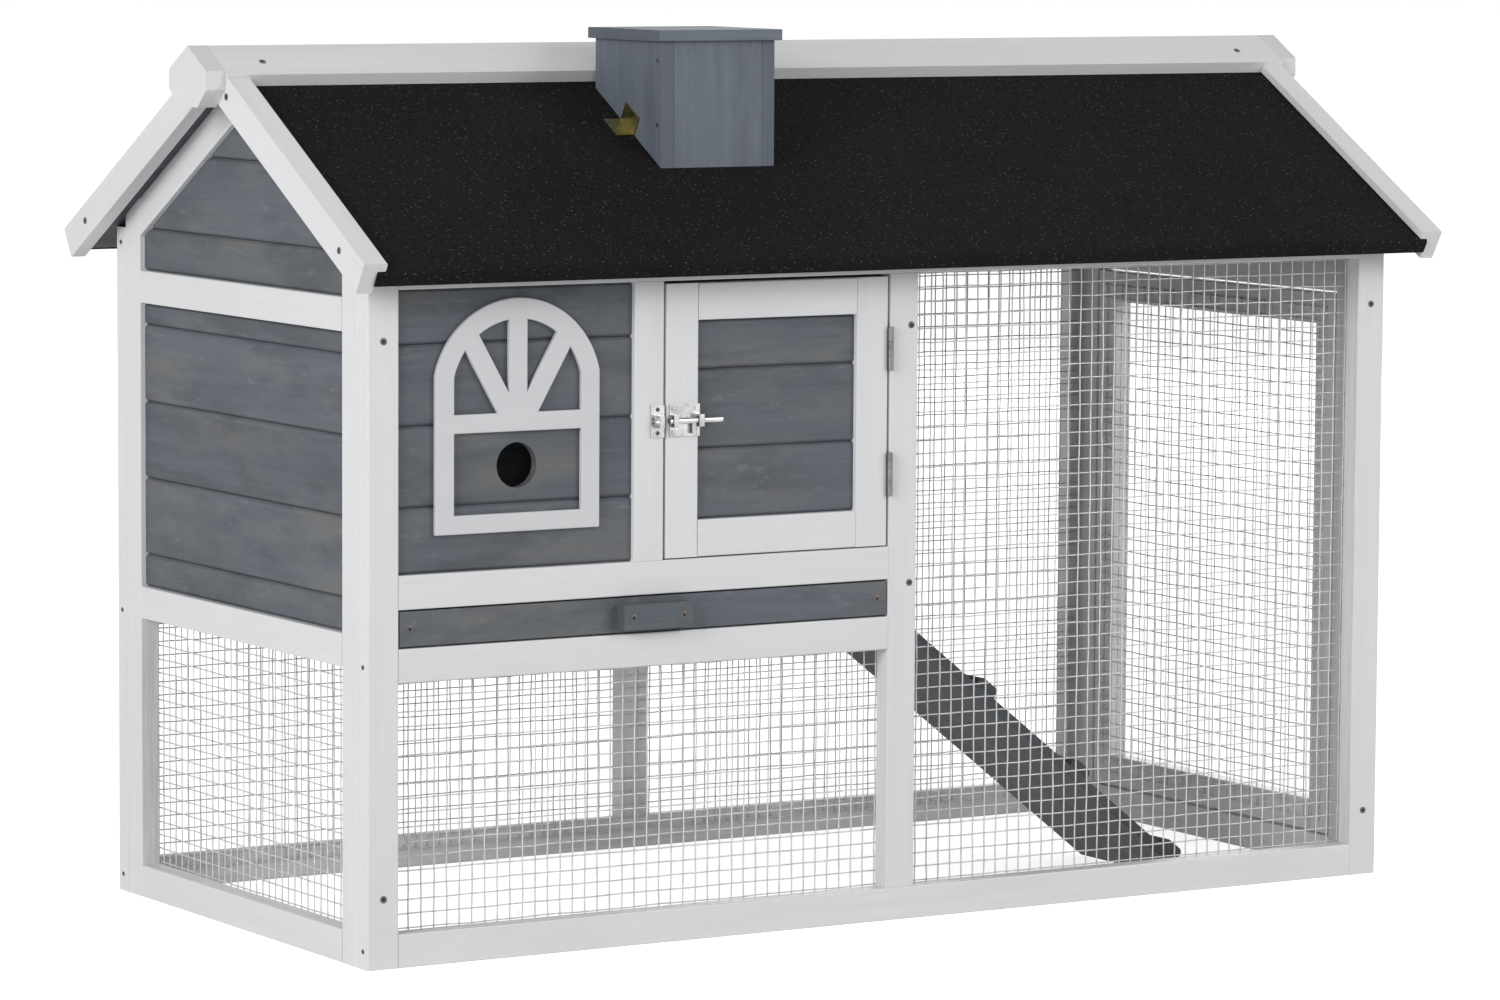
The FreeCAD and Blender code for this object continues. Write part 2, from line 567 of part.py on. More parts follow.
# Gable cladding: full boards cut to the underside of the rafters.
gable_apex = "ridge_underside - rafter_drop"
gable_shape = [("-stile_inside", "side_floor_height"), ("stile_inside", "side_floor_height"),
               ("stile_inside", "ridge_underside - rafter_drop - stile_inside * rise"),
               ("0", gable_apex),
               ("-stile_inside", "ridge_underside - rafter_drop - stile_inside * rise")]
gable_boards = []
for side, face, back, foot in (
        ("left", "-cladding_side", "board_thickness - cladding_side", "side_eave_top"),
        ("right", "cladding_side", "cladding_side - board_thickness", "side_head_top")):
    limit = prism(f"{side}_gable_limit", "YZ_Plane", gable_shape, "-body_length", "2 * body_length")
    joints = [foot, "gable_joint_height", "gable_joint_height + board_pitch", gable_apex]
    for i, board in enumerate(cladding(
            f"{side}_gable_board", "XZ_Plane", face, back, joints,
            "-stile_inside", "2 * stile_inside")):
        gable_boards.append(shared(f"{side}_gable_{i + 1}", board, limit))
node("gable_boards", gable_boards)

# Rear panel.
node("rear_stiles", [
    span("rear_left", ("-half_length", "inside_front", "0"),
         ("-rail_end", "half_depth", "wall_height")),
    span("rear_centre", ("post_left", "inside_front", "member_width"),
         ("post_right", "half_depth", "top_rail_height")),
    span("rear_right", ("rail_end", "inside_front", "0"),
         ("half_length", "half_depth", "wall_height")),
])
node("rear_rails", [
    span("rear_base", ("-rail_end", "inside_front", "0"), ("rail_end", "half_depth", "member_width")),
    span("rear_floor", ("-rail_end", "inside_front", "tray_rail_height"),
         ("post_left", "half_depth", "tray_rail_top")),
    span("rear_top", ("-rail_end", "inside_front", "top_rail_height"),
         ("rail_end", "half_depth", "wall_height")),
])
rear_joints = ["tray_rail_top"] + [f"tray_rail_top + {k} * board_pitch" for k in (1, 2, 3, 4)]
rear_joints.append("top_rail_height")
node("rear_wall_boards", cladding(
    "rear_board", "YZ_Plane", "cladding_front", "cladding_front - board_thickness",
    rear_joints, "-rail_end", "post_left + rail_end"))


# Wire mesh, stapled to the inner face of the frames.
for side, facing, plane in (("front", "-y", "-inside_front"), ("rear", "y", "inside_front")):
    mesh_panel(f"{side}_lower_mesh", facing, plane,
               ("-rail_end - mesh_lap / 2", "member_width - mesh_lap"),
               ("post_left + mesh_lap", "tray_rail_height + mesh_lap"))
    mesh_panel(f"{side}_run_mesh", facing, plane,
               ("post_right - mesh_lap", "member_width - mesh_lap"),
               ("rail_end + mesh_lap / 2", "top_rail_height + mesh_lap"))
mesh_panel("left_lower_mesh", "-x", "-inside_side",
           ("-stile_inside - mesh_lap", "member_width - mesh_lap"),
           ("stile_inside + mesh_lap", "side_floor_height + mesh_lap"))

# Partition between house and run, with the doorway at the head of the ramp.
roof_at_mesh = "ridge_underside - mesh_front * rise"
roof_limit = prism(
    "under_roof", "YZ_Plane",
    [("-mesh_front", "tray_rail_top"), ("mesh_front", "tray_rail_top"), ("mesh_front", roof_at_mesh),
     ("0", "ridge_underside"), ("-mesh_front", roof_at_mesh)],
    "-body_length", "2 * body_length")
partition_left = "partition_right - board_thickness"
partition = []
for name, low, high in (
        ("rear", ("doorway_far", "tray_rail_top"), ("inside_front", "ridge_underside")),
        ("head", ("-inside_front", "doorway_head"), ("doorway_far - joint_gap", "ridge_underside")),
        ("front", ("-inside_front", "tray_rail_top"), ("doorway_near", "doorway_head - joint_gap"))):
    blank = span(f"partition_{name}_blank", (partition_left, *low), ("partition_right", *high))
    partition.append(shared(f"partition_{name}", blank, roof_limit))
node("partition_boards", partition)
node("partition_rail", span(
    "partition_foot", ("post_left", "-mesh_front", "tray_rail_height"),
    ("post_right", "mesh_front", "tray_rail_top")))
node("tray_runner", span(
    "runner", ("mesh_depth - inside_side", "-inside_front", "tray_rail_top - runner_depth"),
    ("mesh_depth - inside_side + runner_width", "inside_front", "tray_rail_top")))

# Roof: boards, felt that laps the eaves, bargeboards, ridge boards and their end blocks.
def lay_on_slope(thing, start, along, above):
    """Put a piece on the front slope. along is up the slope from the eave's lower corner."""
    turned(thing, X_AXIS, "roof_slope")
    place(thing, (
        start,
        f"-half_depth - eave_overhang + ({along}) * cos(roof_slope) - ({above}) * sin(roof_slope)",
        f"wall_height - eave_overhang * rise + ({along}) * sin(roof_slope)"
        f" + ({above}) * cos(roof_slope)"))
    return thing


def on_slope(name, along, above, size, start):
    """A block lying on the front slope."""
    return lay_on_slope(block(name, ("0", "0", "0"), size), start, along, above)


def up_slope(y, above):
    """How far up the slope a point of the given y lies, at a height square to the slope."""
    return f"(({y}) + half_depth + eave_overhang + ({above}) * sin(roof_slope)) / steep"


front_half = span("front_half", ("-body_length", "-body_depth", "0"),
                  ("body_length", "-joint_gap / 2", "2 * wall_height"))
roof_start = "-half_length - gable_overhang"
roof_length = "body_length + 2 * gable_overhang"
past_ridge = up_slope("0", "roof_thickness") + " + cap_width"
deck = shared("deck_near", on_slope(
    "deck_blank", "0", "0", (roof_length, past_ridge, "deck_thickness"), roof_start), front_half)
node("roof_decks", [deck, mirrored("deck_far", deck, Y_AXIS)])
felt_top = shared("felt_top", on_slope(
    "felt_blank", "-felt_thickness", "deck_thickness", (roof_length, past_ridge, "felt_thickness"),
    roof_start), front_half)
felt_lap = on_slope("felt_lap", "-felt_thickness", "0",
                    (roof_length, "felt_thickness", "deck_thickness"), roof_start)
felt = fused("felt_near", [felt_top, felt_lap])
node("roof_felt", [felt, mirrored("felt_far", felt, Y_AXIS)])

# Each bargeboard ends square to the slope, has a lip over the felt, and is notched under the
# ridge boards.
barge_top = "roof_thickness + barge_rise"
barge_low = up_slope("-half_depth - barge_reach", barge_top)
barge_web = on_slope(
    "barge_web", barge_low, f"{barge_top} - barge_width",
    ("barge_thickness", past_ridge, "barge_width"), "-barge_outside")
barge_over = on_slope(
    "barge_over", barge_low, "roof_thickness",
    ("barge_thickness + barge_lip", past_ridge, "barge_rise"), "-barge_outside")
barge_blank = fused("barge_blank", [barge_web, barge_over])
cap_foot = up_slope("0", "roof_thickness") + " - cap_width"
cap_notch = on_slope(
    "cap_notch", f"{cap_foot} - joint_gap", "roof_thickness",
    ("barge_thickness + barge_lip", "2 * cap_width", "2 * cap_thickness"), "-barge_outside")
barge = cut("barge_near", shared("barge_half", barge_blank, front_half), cap_notch)
barge_far = mirrored("barge_far", barge, Y_AXIS)
node("bargeboards", [barge, barge_far, mirrored("barge_right_near", barge, X_AXIS),
                     mirrored("barge_right_far", barge_far, X_AXIS)])
cap = shared("cap_near", on_slope(
    "cap_blank", cap_foot, "roof_thickness",
    ("2 * barge_outside", "2 * cap_width", "cap_thickness"), "-barge_outside"), front_half)
node("ridge_boards", [cap, mirrored("cap_far", cap, Y_AXIS)])
end_block = prism(
    "end_block_left", "YZ_Plane",
    [("-end_block_foot_half", "end_block_foot_height"),
     ("end_block_foot_half", "end_block_foot_height"),
     ("cap_half", "shoulder_height - end_block_side"), ("cap_half", "shoulder_height"),
     ("0", "cap_apex"),
     ("-cap_half", "shoulder_height"), ("-cap_half", "shoulder_height - end_block_side")],
    "-barge_outside - end_block_thickness", "end_block_thickness - joint_gap")
node("ridge_end_blocks", [end_block, mirrored("end_block_right", end_block, X_AXIS)])

# Chimney: four boards scribed to the felt, a cap and two angle brackets.
chimney_side = [("-chimney_front", "felt_apex - chimney_front * rise"),
                ("-chimney_rear", "felt_apex - chimney_rear * rise"),
                ("-chimney_rear", "chimney_height"), ("-chimney_front", "chimney_height")]
left_side = prism("chimney_left_board", "YZ_Plane", chimney_side, "chimney_left", "chimney_board")
right_side = prism("chimney_right_board", "YZ_Plane", chimney_side,
                   "chimney_left + chimney_width - chimney_board", "chimney_board")
node("chimney_sides", [left_side, right_side])
ends = []
for name, near, far in (
        ("chimney_front_board", "-chimney_front", "chimney_board - chimney_front"),
        ("chimney_rear_board", "-chimney_rear - chimney_board", "-chimney_rear")):
    outline = [(near, f"felt_apex + ({near}) * rise"), (far, f"felt_apex + ({far}) * rise"),
               (far, "chimney_height"), (near, "chimney_height")]
    ends.append(prism(name, "YZ_Plane", outline, "chimney_left + chimney_board",
                      "chimney_width - 2 * chimney_board"))
node("chimney_ends", ends)
node("chimney_cap", block(
    "chimney_lid",
    ("chimney_left - chimney_cap_overhang", "-chimney_front - chimney_cap_overhang", "chimney_height"),
    ("chimney_width + 2 * chimney_cap_overhang", "chimney_width + 2 * chimney_cap_overhang",
     "chimney_cap_thickness")))
bracket_along = up_slope("-bracket_from_ridge", "roof_thickness") + " - bracket_width / 2"
brackets = []
for side, start, wall in (
        ("left", "chimney_left - bracket_leg", "chimney_left - bracket_thickness"),
        ("right", "chimney_left + chimney_width", "chimney_left + chimney_width")):
    flat = on_slope(f"bracket_{side}_flat", bracket_along, "roof_thickness",
                    ("bracket_leg", "bracket_width", "bracket_thickness"), start)
    upright = on_slope(f"bracket_{side}_upright", bracket_along, "roof_thickness",
                       ("bracket_thickness", "bracket_width", "bracket_leg"), wall)
    brackets.append(fused(f"bracket_{side}", [flat, upright]))
node("chimney_brackets", brackets)


# Framed doors.
def door_frame(name, plane_low, plane_high, low, high, width):
    """Two full-height stiles with two rails between them, in the XZ or the YZ plane."""
    (a0, b0), (a1, b1) = low, high
    rail_start, rail_stop = f"{a0} + {width} + joint_gap", f"{a1} - {width} - joint_gap"
    pieces = [((a0, b0), (f"{a0} + {width}", b1)), ((f"{a1} - {width}", b0), (a1, b1)),
              ((rail_start, b0), (rail_stop, f"{b0} + {width}")),
              ((rail_start, f"{b1} - {width}"), (rail_stop, b1))]
    made = []
    for i, ((la, lb), (ha, hb)) in enumerate(pieces):
        if name.startswith("front"):
            ends = (la, plane_low, lb), (ha, plane_high, hb)
        else:
            ends = (plane_low, la, lb), (plane_high, ha, hb)
        made.append(span(f"{name}_{i + 1}", *ends))
    return made


node("front_door_frame", door_frame(
    "front_door_member", front, inner_front, ("door_left", "door_bottom"),
    ("door_right", "door_top"), "door_member_width"))
door_joints = ["door_bottom + door_member_width", "door_joint_height",
               "door_joint_height + board_pitch", "door_top - door_member_width"]
node("front_door_boards", cladding(
    "door_board", "YZ_Plane", "-cladding_front", "board_thickness - cladding_front", door_joints,
    "door_left + door_member_width", "door_right - door_left - 2 * door_member_width"))
node("side_door_frame", door_frame(
    "side_door_member", "inside_side", "half_length", ("-side_door_half", "side_door_bottom"),
    ("side_door_half", "side_door_top"), "member_width"))
mesh_panel("side_door_mesh", "x", "inside_side",
           ("mesh_lap - side_door_half", "side_door_bottom + mesh_lap"),
           ("side_door_half - mesh_lap", "side_door_top - mesh_lap"))


# Butt hinges: two knuckles with the pin and a leaf on the frame, a bored knuckle and leaf on the door.
def butt_hinge(name, x, y, low, out, fixed_low, moving_low):
    """Both halves of a hinge. Its knuckles stand out along the axis out, x or y, and a tongue joins
    each to its leaf. fixed_low and moving_low are the leaves' corners in plan."""
    if out == "y":
        leaf = ("leaf_thickness", "leaf_depth", "hinge_height - knuckle_gap")
        tongue = ("leaf_thickness", "knuckle_radius + pin_play", "knuckle_length - knuckle_gap")
    else:
        leaf = ("leaf_depth", "leaf_thickness", "hinge_height - knuckle_gap")
        tongue = ("knuckle_radius + pin_play", "leaf_thickness", "knuckle_length - knuckle_gap")

    def half(side, leaf_low, levels):
        made = [block(f"{name}_{side}_leaf", (*leaf_low, low), leaf)]
        face = (leaf_low[0], y) if out == "y" else ("half_length", leaf_low[1])
        for i, level in enumerate(levels):
            made.append(rod(f"{name}_{side}_knuckle_{i + 1}", (x, y, level), "knuckle_radius",
                            "knuckle_length - knuckle_gap"))
            made.append(block(f"{name}_{side}_tongue_{i + 1}", (*face, level), tongue))
        return made

    fixed = half("fixed", fixed_low, [low, f"{low} + 2 * knuckle_length"])
    fixed.append(rod(f"{name}_pin", (x, y, low), "pin_radius", "hinge_height - knuckle_gap"))
    moving = fused(f"{name}_moving_solid", half("moving", moving_low, [f"{low} + knuckle_length"]))
    bore = rod(f"{name}_bore", (x, y, low), "bore_radius", "hinge_height")
    return fused(f"{name}_fixed", fixed), cut(f"{name}_moving", moving, bore)


fixed_halves, front_leaves, side_leaves = [], [], []
for i, low in enumerate(("door_bottom + hinge_from_door_end - hinge_height / 2",
                         "door_top - hinge_from_door_end - hinge_height / 2")):
    fixed, moving = butt_hinge(
        f"front_hinge_{i + 1}", "hinge_middle", "-hinge_front", low, "y",
        ("post_left - leaf_thickness", "-half_depth"), ("door_right", "-half_depth"))
    fixed_halves.append(fixed)
    front_leaves.append(moving)
for i, low in enumerate(("side_door_bottom + side_hinge_from_end - hinge_height / 2",
                         "side_door_top - side_hinge_from_end - hinge_height / 2")):
    fixed, moving = butt_hinge(
        f"side_hinge_{i + 1}", "side_hinge_out", "side_hinge_middle", low, "x",
        ("half_length - leaf_depth", "stile_inside - leaf_thickness"),
        ("half_length - leaf_depth", "side_door_half"))
    fixed_halves.append(fixed)
    side_leaves.append(moving)
node("hinge_frame_halves", fixed_halves)
node("front_hinge_leaves", front_leaves)
node("side_hinge_leaves", side_leaves)


# Barrel bolts, drawn back: the front one slides along X, the side one along Y.
def bolt_plate(name, axis, start, width, guides, level):
    """A plate with bored guides on it, in one piece. axis is the way its bolt slides; start is its
    lower end along that axis; guides are the places of the guides from start."""
    plate_low = f"{level} - plate_height / 2"
    guide_low = f"{level} - guide_height / 2"
    rise = "bolt_depth - plate_thickness"
    if axis == "x":
        pieces = [block(f"{name}_back", (start, "-half_depth - plate_thickness", plate_low),
                        (width, "plate_thickness", "plate_height"))]
        bore_start = (start, "-bolt_front", level)
    else:
        pieces = [block(f"{name}_back", ("half_length", start, plate_low),
                        ("plate_thickness", width, "plate_height"))]
        bore_start = ("side_bolt_out", start, level)
    for i, offset in enumerate(guides):
        across = f"{start} + {offset}"
        if axis == "x":
            low, size = (across, "-half_depth - bolt_depth", guide_low), ("guide_width", rise)
        else:
            low, size = ("half_length + plate_thickness", across, guide_low), (rise, "guide_width")
        pieces.append(block(f"{name}_guide_{i + 1}", low, (*size, "guide_height")))
    bore = rod(f"{name}_bore", bore_start, "guide_bore", width, axis)
    return cut(name, fused(f"{name}_solid", pieces), bore)


def barrel_bolt(name, axis, tip, knob, level):
    """A round bolt with a knob hanging from it. tip is its end, knob the knob's place, on its axis."""
    ends = [(tip, "-bolt_front", level), (knob, "-bolt_front", level)]
    if axis == "y":
        ends = [("side_bolt_out", tip, level), ("side_bolt_out", knob, level)]
    return fused(name, [rod(f"{name}_shank", ends[0], "bolt_radius", "bolt_length", axis),
                        rod(f"{name}_knob", ends[1], "knob_radius", "knob_length", "-z")])


plate_start, side_plate_start = "(door_left + plate_inset)", "(side_plate_inset - side_door_half)"
keeper_start = "(door_post_right - keeper_width)"
side_keeper_start = "(-stile_inside - keeper_width)"
keeper_loop = ["(keeper_width - guide_width) / 2"]
node("front_bolt_plate", bolt_plate(
    "front_plate", "x", plate_start, "plate_width", ["0", "plate_width - guide_width"], "bolt_height"))
node("side_bolt_plate", bolt_plate(
    "side_plate", "y", side_plate_start, "side_plate_width",
    ["0", "side_plate_width - guide_width"], "side_bolt_height"))
node("bolt_keepers", [
    bolt_plate("front_keeper", "x", keeper_start, "keeper_width", keeper_loop, "bolt_height"),
    bolt_plate("side_keeper", "y", side_keeper_start, "keeper_width", keeper_loop,
               "side_bolt_height")])
node("front_bolt", barrel_bolt(
    "front_bolt_rod", "x", "door_left + pin_play",
    f"{plate_start} + plate_width - (guide_width + knob_radius + knob_play)", "bolt_height"))
node("side_bolt", barrel_bolt(
    "side_bolt_rod", "y", "pin_play - side_door_half",
    f"{side_plate_start} + side_plate_width - (guide_width + knob_radius + knob_play)",
    "side_bolt_height"))

# Tray: a shallow pan behind a wooden front with a block handle.
tray_front_size = ("tray_right - tray_left", "tray_front_thickness",
                   "floor_rail_height - tray_bottom - tray_gap")
node("tray_front", block(
    "tray_face_board", ("tray_left", "-tray_face", "tray_bottom"), tray_front_size))
pan = doc.addObject("PartDesign::Body", "tray_pan_body")


def pan_rectangle(name, margin, height):
    """A rectangle on the pan's own XY plane, margin in from each side, lifted by height."""
    sketch = pan.newObject("Sketcher::SketchObject", name)
    origin_plane = [p for p in pan.Origin.OriginFeatures if p.Role == "XY_Plane"][0]
    sketch.AttachmentSupport = [(origin_plane, "")]
    sketch.MapMode = "FlatFace"
    bind(sketch, "AttachmentOffset.Base.z", height)
    near, far = SEED, 4 * SEED
    corners = [FreeCAD.Vector(*spot, 0) for spot in ((near, near), (far, near), (far, far), (near, far))]
    for a, b in zip(corners, corners[1:] + corners[:1]):
        sketch.addGeometry(Part.LineSegment(a, b), False)
    for i in range(4):
        sketch.addConstraint(Sketcher.Constraint("Coincident", i, 2, (i + 1) % 4, 1))
        sketch.addConstraint(Sketcher.Constraint(("Horizontal", "Vertical")[i % 2], i))
    for kind, ends, text in (
            ("DistanceX", (-1, 1, 0, 1), margin), ("DistanceY", (-1, 1, 0, 1), margin),
            ("DistanceX", (0, 1, 0, 2), f"pan_width - 2 * ({margin})"),
            ("DistanceY", (1, 1, 1, 2), f"pan_depth - 2 * ({margin})")):
        row = sketch.addConstraint(Sketcher.Constraint(kind, *ends, SEED))
        bind(sketch, f"Constraints[{row}]", text)
    return sketch


pan_pad = pan.newObject("PartDesign::Pad", "pan_pad")
pan_pad.Profile = pan_rectangle("pan_outline", "0", "0")
bind(pan_pad, "Length", "tray_pan_height")
pan_hollow = pan.newObject("PartDesign::Pocket", "pan_hollow")
pan_hollow.Profile = pan_rectangle("pan_inside", "tray_wall", "tray_wall")
bind(pan_hollow, "Length", "tray_pan_height")
pan_hollow.Reversed = True
pan.Tip = pan_hollow
place(pan, ("tray_left + tray_pan_inset", "-pan_front", "tray_bottom"))
node("tray_pan", pan)
node("tray_handle", block(
    "handle_block", ("handle_middle - handle_width / 2", "-tray_face - handle_depth", "handle_bottom"),
    ("handle_width", "handle_depth", "handle_height")))

# Ramp: a board with rounded cleats, hung by two eyes on a rod beside the partition rail.
def ramp_point(along, above):
    """x and z of a point on the ramp: along it from the pivot, and square to its top."""
    return (f"ramp_pivot + ({along}) * cos(ramp_slope) + ({above}) * sin(ramp_slope)",
            f"ramp_top_height - ({along}) * sin(ramp_slope) + ({above}) * cos(ramp_slope)")


def down_ramp(name, along, above, near, size):
    """A block lying along the ramp. along is down the slope from the pivot."""
    thing = block(name, ("0", "0", "0"), size)
    turned(thing, Y_AXIS, "ramp_slope")
    x, z = ramp_point(along, above)
    place(thing, (x, near, z))
    return thing


def cleat(name, middle):
    """A cross bar with rounded upper edges: two blocks and two rods in one solid."""
    low = f"{middle} - cleat_width / 2"
    near, length = "ramp_near + cleat_inset", "ramp_width - 2 * cleat_inset"
    pieces = [
        down_ramp(f"{name}_lower", low, "0", near,
                  ("cleat_width", length, "cleat_height - cleat_round")),
        down_ramp(f"{name}_upper", f"{low} + cleat_round", "0", near,
                  ("cleat_width - 2 * cleat_round", length, "cleat_height"))]
    for side, edge in (("top", f"{low} + cleat_round"), ("foot", f"{low} + cleat_width - cleat_round")):
        x, z = ramp_point(edge, "cleat_height - cleat_round")
        pieces.append(rod(f"{name}_{side}_round", (x, near, z), "cleat_round", length, "y"))
    return fused(name, pieces)


def ramp_eye(name, near):
    """A strap on the ramp board, with the barrel that turns on the pivot rod."""
    strap = down_ramp(f"{name}_strap", "0", "0", near, (
        "ramp_board_start + ramp_strap_length", "ramp_eye_width", "ramp_strap_thickness"))
    pivot = ("ramp_pivot", near, "ramp_top_height")
    barrel = rod(f"{name}_barrel", pivot, "ramp_eye_radius", "ramp_eye_width", "y")
    bore = rod(f"{name}_bore", pivot, "ramp_pin_radius + pin_play", "ramp_eye_width", "y")
    return cut(name, fused(f"{name}_solid", [strap, barrel]), bore)


node("ramp_board", down_ramp(
    "ramp_plank", "ramp_board_start", "-ramp_thickness", "ramp_near",
    ("ramp_length - ramp_board_start", "ramp_width", "ramp_thickness")))
node("ramp_cleats", [cleat(f"cleat_{i + 1}", f"ramp_length - cleat_from_foot - {i} * cleat_pitch")
                     for i in range(3)])
node("ramp_eyes", [ramp_eye("near_eye", "ramp_near + ramp_eye_inset"),
                   ramp_eye("far_eye", "ramp_near + ramp_width - ramp_eye_inset - ramp_eye_width")])
hanger_near = "ramp_near - hanger_gap - hanger_thickness"
hanger = [rod("pivot_rod", ("ramp_pivot", hanger_near, "ramp_top_height"), "ramp_pin_radius",
              "ramp_width + 2 * (hanger_gap + hanger_thickness)", "y")]
for side, near in (("near", hanger_near), ("far", "ramp_near + ramp_width + hanger_gap")):
    hanger.append(block(
        f"hanger_{side}",
        ("post_right", near, "ramp_top_height + ramp_pin_radius + hanger_rim - hanger_height"),
        ("ramp_pivot_gap + ramp_pin_radius + hanger_rim", "hanger_thickness", "hanger_height")))
node("ramp_hanger", fused("ramp_hanger_solid", hanger))

# Screw heads, flat discs on the faces they hold. An axis names the way each head stands out.
def screws(name, radius, along, spots):
    return [rod(f"{name}_{i + 1}", spot, radius, "screw_height", along)
            for i, spot in enumerate(spots)]


stile_middle, edge_middle = "half_length - member_width / 2", "half_depth - member_thickness / 2"
fixed_screws = []
for side, sign in (("front", "-"), ("rear", "")):
    spots = [(f"{end} ({stile_middle})", f"{sign} half_depth", z)
             for end in ("-1 *", "1 *")
             for z in ("wall_height - stile_screw_drop", "stile_screw_height")]
    spots += [("post_offset + post_screw_offset", f"{sign} half_depth", z)
              for z in ("wall_height - post_screw_drop", "tray_rail_top + member_width")]
    fixed_screws += screws(f"{side}_screw", "screw_radius", sign + "y", spots)
for side, sign in (("left", "-"), ("right", "")):
    spots = [(f"{sign} half_length", f"{end} ({edge_middle})", z) for end in ("-1 *", "1 *")
             for z in ("wall_height - edge_screw_drop", "edge_screw_middle", "edge_screw_height")]
    fixed_screws += screws(f"{side}_edge_screw", "small_screw_radius", sign + "x", spots)
for end, sign in (("left", "-"), ("right", "")):
    for place_name, y in (("eave", "barge_screw_reach"), ("ridge", "barge_screw_near")):
        height = f"barge_apex - {y} * rise - barge_width / 2 / steep"
        fixed_screws += screws(f"barge_{end}_{place_name}_screw", "screw_radius", sign + "x", [
            (f"{sign} barge_outside", f"{side} {y}", height) for side in ("-1 *", "1 *")])
for end, start in (("left", "ridge_screw_inset - barge_outside"),
                   ("right", "barge_outside - ridge_screw_inset")):
    head = rod(f"ridge_screw_{end}", ("0", "0", "0"), "screw_radius", "screw_height")
    lay_on_slope(head, start, f"{cap_foot} + cap_width / 2", "roof_thickness + cap_thickness")
    fixed_screws += [head, mirrored(f"ridge_screw_{end}_rear", head, Y_AXIS)]
for end, wall, along in (("left", "chimney_left", "-x"),
                         ("right", "chimney_left + chimney_width", "x")):
    fixed_screws += screws(f"chimney_{end}_screw", "small_screw_radius", along, [
        (wall, "chimney_board / 2 - chimney_front", f"chimney_height - chimney_screw_drop{lower}")
        for lower in ("", " - chimney_screw_pitch")])


def plate_screws(name, axis, start, level, columns):
    """Screws above and below a bolt; columns are their places along the plate from its start."""
    spots = []
    for column in columns:
        across = f"{start} + {column}"
        for up in ("-", "+"):
            height = f"{level} {up} (plate_height / 2 - plate_screw_inset)"
            spots.append((across, "-half_depth - plate_thickness", height) if axis == "x"
                         else ("half_length + plate_thickness", across, height))
    return screws(name, "plate_screw_radius", "-y" if axis == "x" else "x", spots)


for side, axis, start, width, level in (
        ("front", "x", plate_start, "plate_width", "bolt_height"),
        ("side", "y", side_plate_start, "side_plate_width", "side_bolt_height")):
    node(f"{side}_plate_screws", plate_screws(
        f"{side}_plate_screw", axis, start, level,
        ("plate_screw_inset", f"{width} - plate_screw_inset")))
for side, axis, start, level in (("front", "x", keeper_start, "bolt_height"),
                                 ("side", "y", side_keeper_start, "side_bolt_height")):
    fixed_screws += plate_screws(
        f"{side}_keeper_screw", axis, start, level, ("keeper_width / 2",))
node("fixed_screws", fixed_screws)

tray_screws = screws("tray_face_screw", "screw_radius", "-y", [
    (x, "-tray_face", "tray_middle_height")
    for x in ("tray_left + tray_screw_inset", "tray_right - tray_screw_inset")])
tray_screws += screws("handle_screw", "screw_radius", "-y", [
    (f"handle_middle {shift} handle_screw_offset", "-tray_face - handle_depth",
     "handle_bottom + handle_height / 2") for shift in "-+"])
node("tray_screws", tray_screws)
doc.recompute()

# Check every object, then write one file for each sub-part.
for thing in doc.Objects:
    if "Invalid" in thing.State or "Error" in thing.State:
        raise RuntimeError(f"{thing.Label} did not build: {thing.State}")
os.makedirs("parts", exist_ok=True)
for label, thing in nodes.items():
    if thing.Shape.isNull() or not thing.Shape.isValid() or thing.Shape.Volume <= 0:
        raise RuntimeError(f"{label} has no valid shape")
    thing.Shape.exportStep(f"parts/{label}.step")
    box = thing.Shape.BoundBox
    print(label, len(thing.Shape.Solids), round(thing.Shape.Volume), [
        round(v, 1) for v in (box.XMin, box.XMax, box.YMin, box.YMax, box.ZMin, box.ZMax)])
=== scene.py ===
import json
import math
import random

import bmesh
import bpy
from mathutils import Matrix, Vector


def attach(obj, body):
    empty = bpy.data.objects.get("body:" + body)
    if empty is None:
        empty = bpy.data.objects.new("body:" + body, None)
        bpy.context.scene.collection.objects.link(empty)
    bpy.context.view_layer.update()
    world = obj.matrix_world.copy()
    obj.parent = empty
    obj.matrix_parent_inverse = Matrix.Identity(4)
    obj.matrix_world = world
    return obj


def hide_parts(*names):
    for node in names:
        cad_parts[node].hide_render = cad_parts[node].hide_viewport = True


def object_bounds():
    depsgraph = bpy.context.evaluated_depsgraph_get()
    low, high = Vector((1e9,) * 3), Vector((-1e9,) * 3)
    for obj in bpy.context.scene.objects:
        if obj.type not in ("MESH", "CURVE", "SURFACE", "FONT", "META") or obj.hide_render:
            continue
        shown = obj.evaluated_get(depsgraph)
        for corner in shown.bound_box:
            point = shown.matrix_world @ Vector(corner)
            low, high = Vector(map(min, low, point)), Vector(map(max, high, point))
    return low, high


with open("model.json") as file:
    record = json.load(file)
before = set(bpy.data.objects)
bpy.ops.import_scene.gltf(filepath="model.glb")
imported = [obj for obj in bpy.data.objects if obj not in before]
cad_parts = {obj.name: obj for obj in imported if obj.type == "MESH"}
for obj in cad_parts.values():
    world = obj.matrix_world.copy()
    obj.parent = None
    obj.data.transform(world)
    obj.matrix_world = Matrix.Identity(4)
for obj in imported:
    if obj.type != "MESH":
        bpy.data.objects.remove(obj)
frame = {"nodes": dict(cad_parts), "record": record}
cad_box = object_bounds()

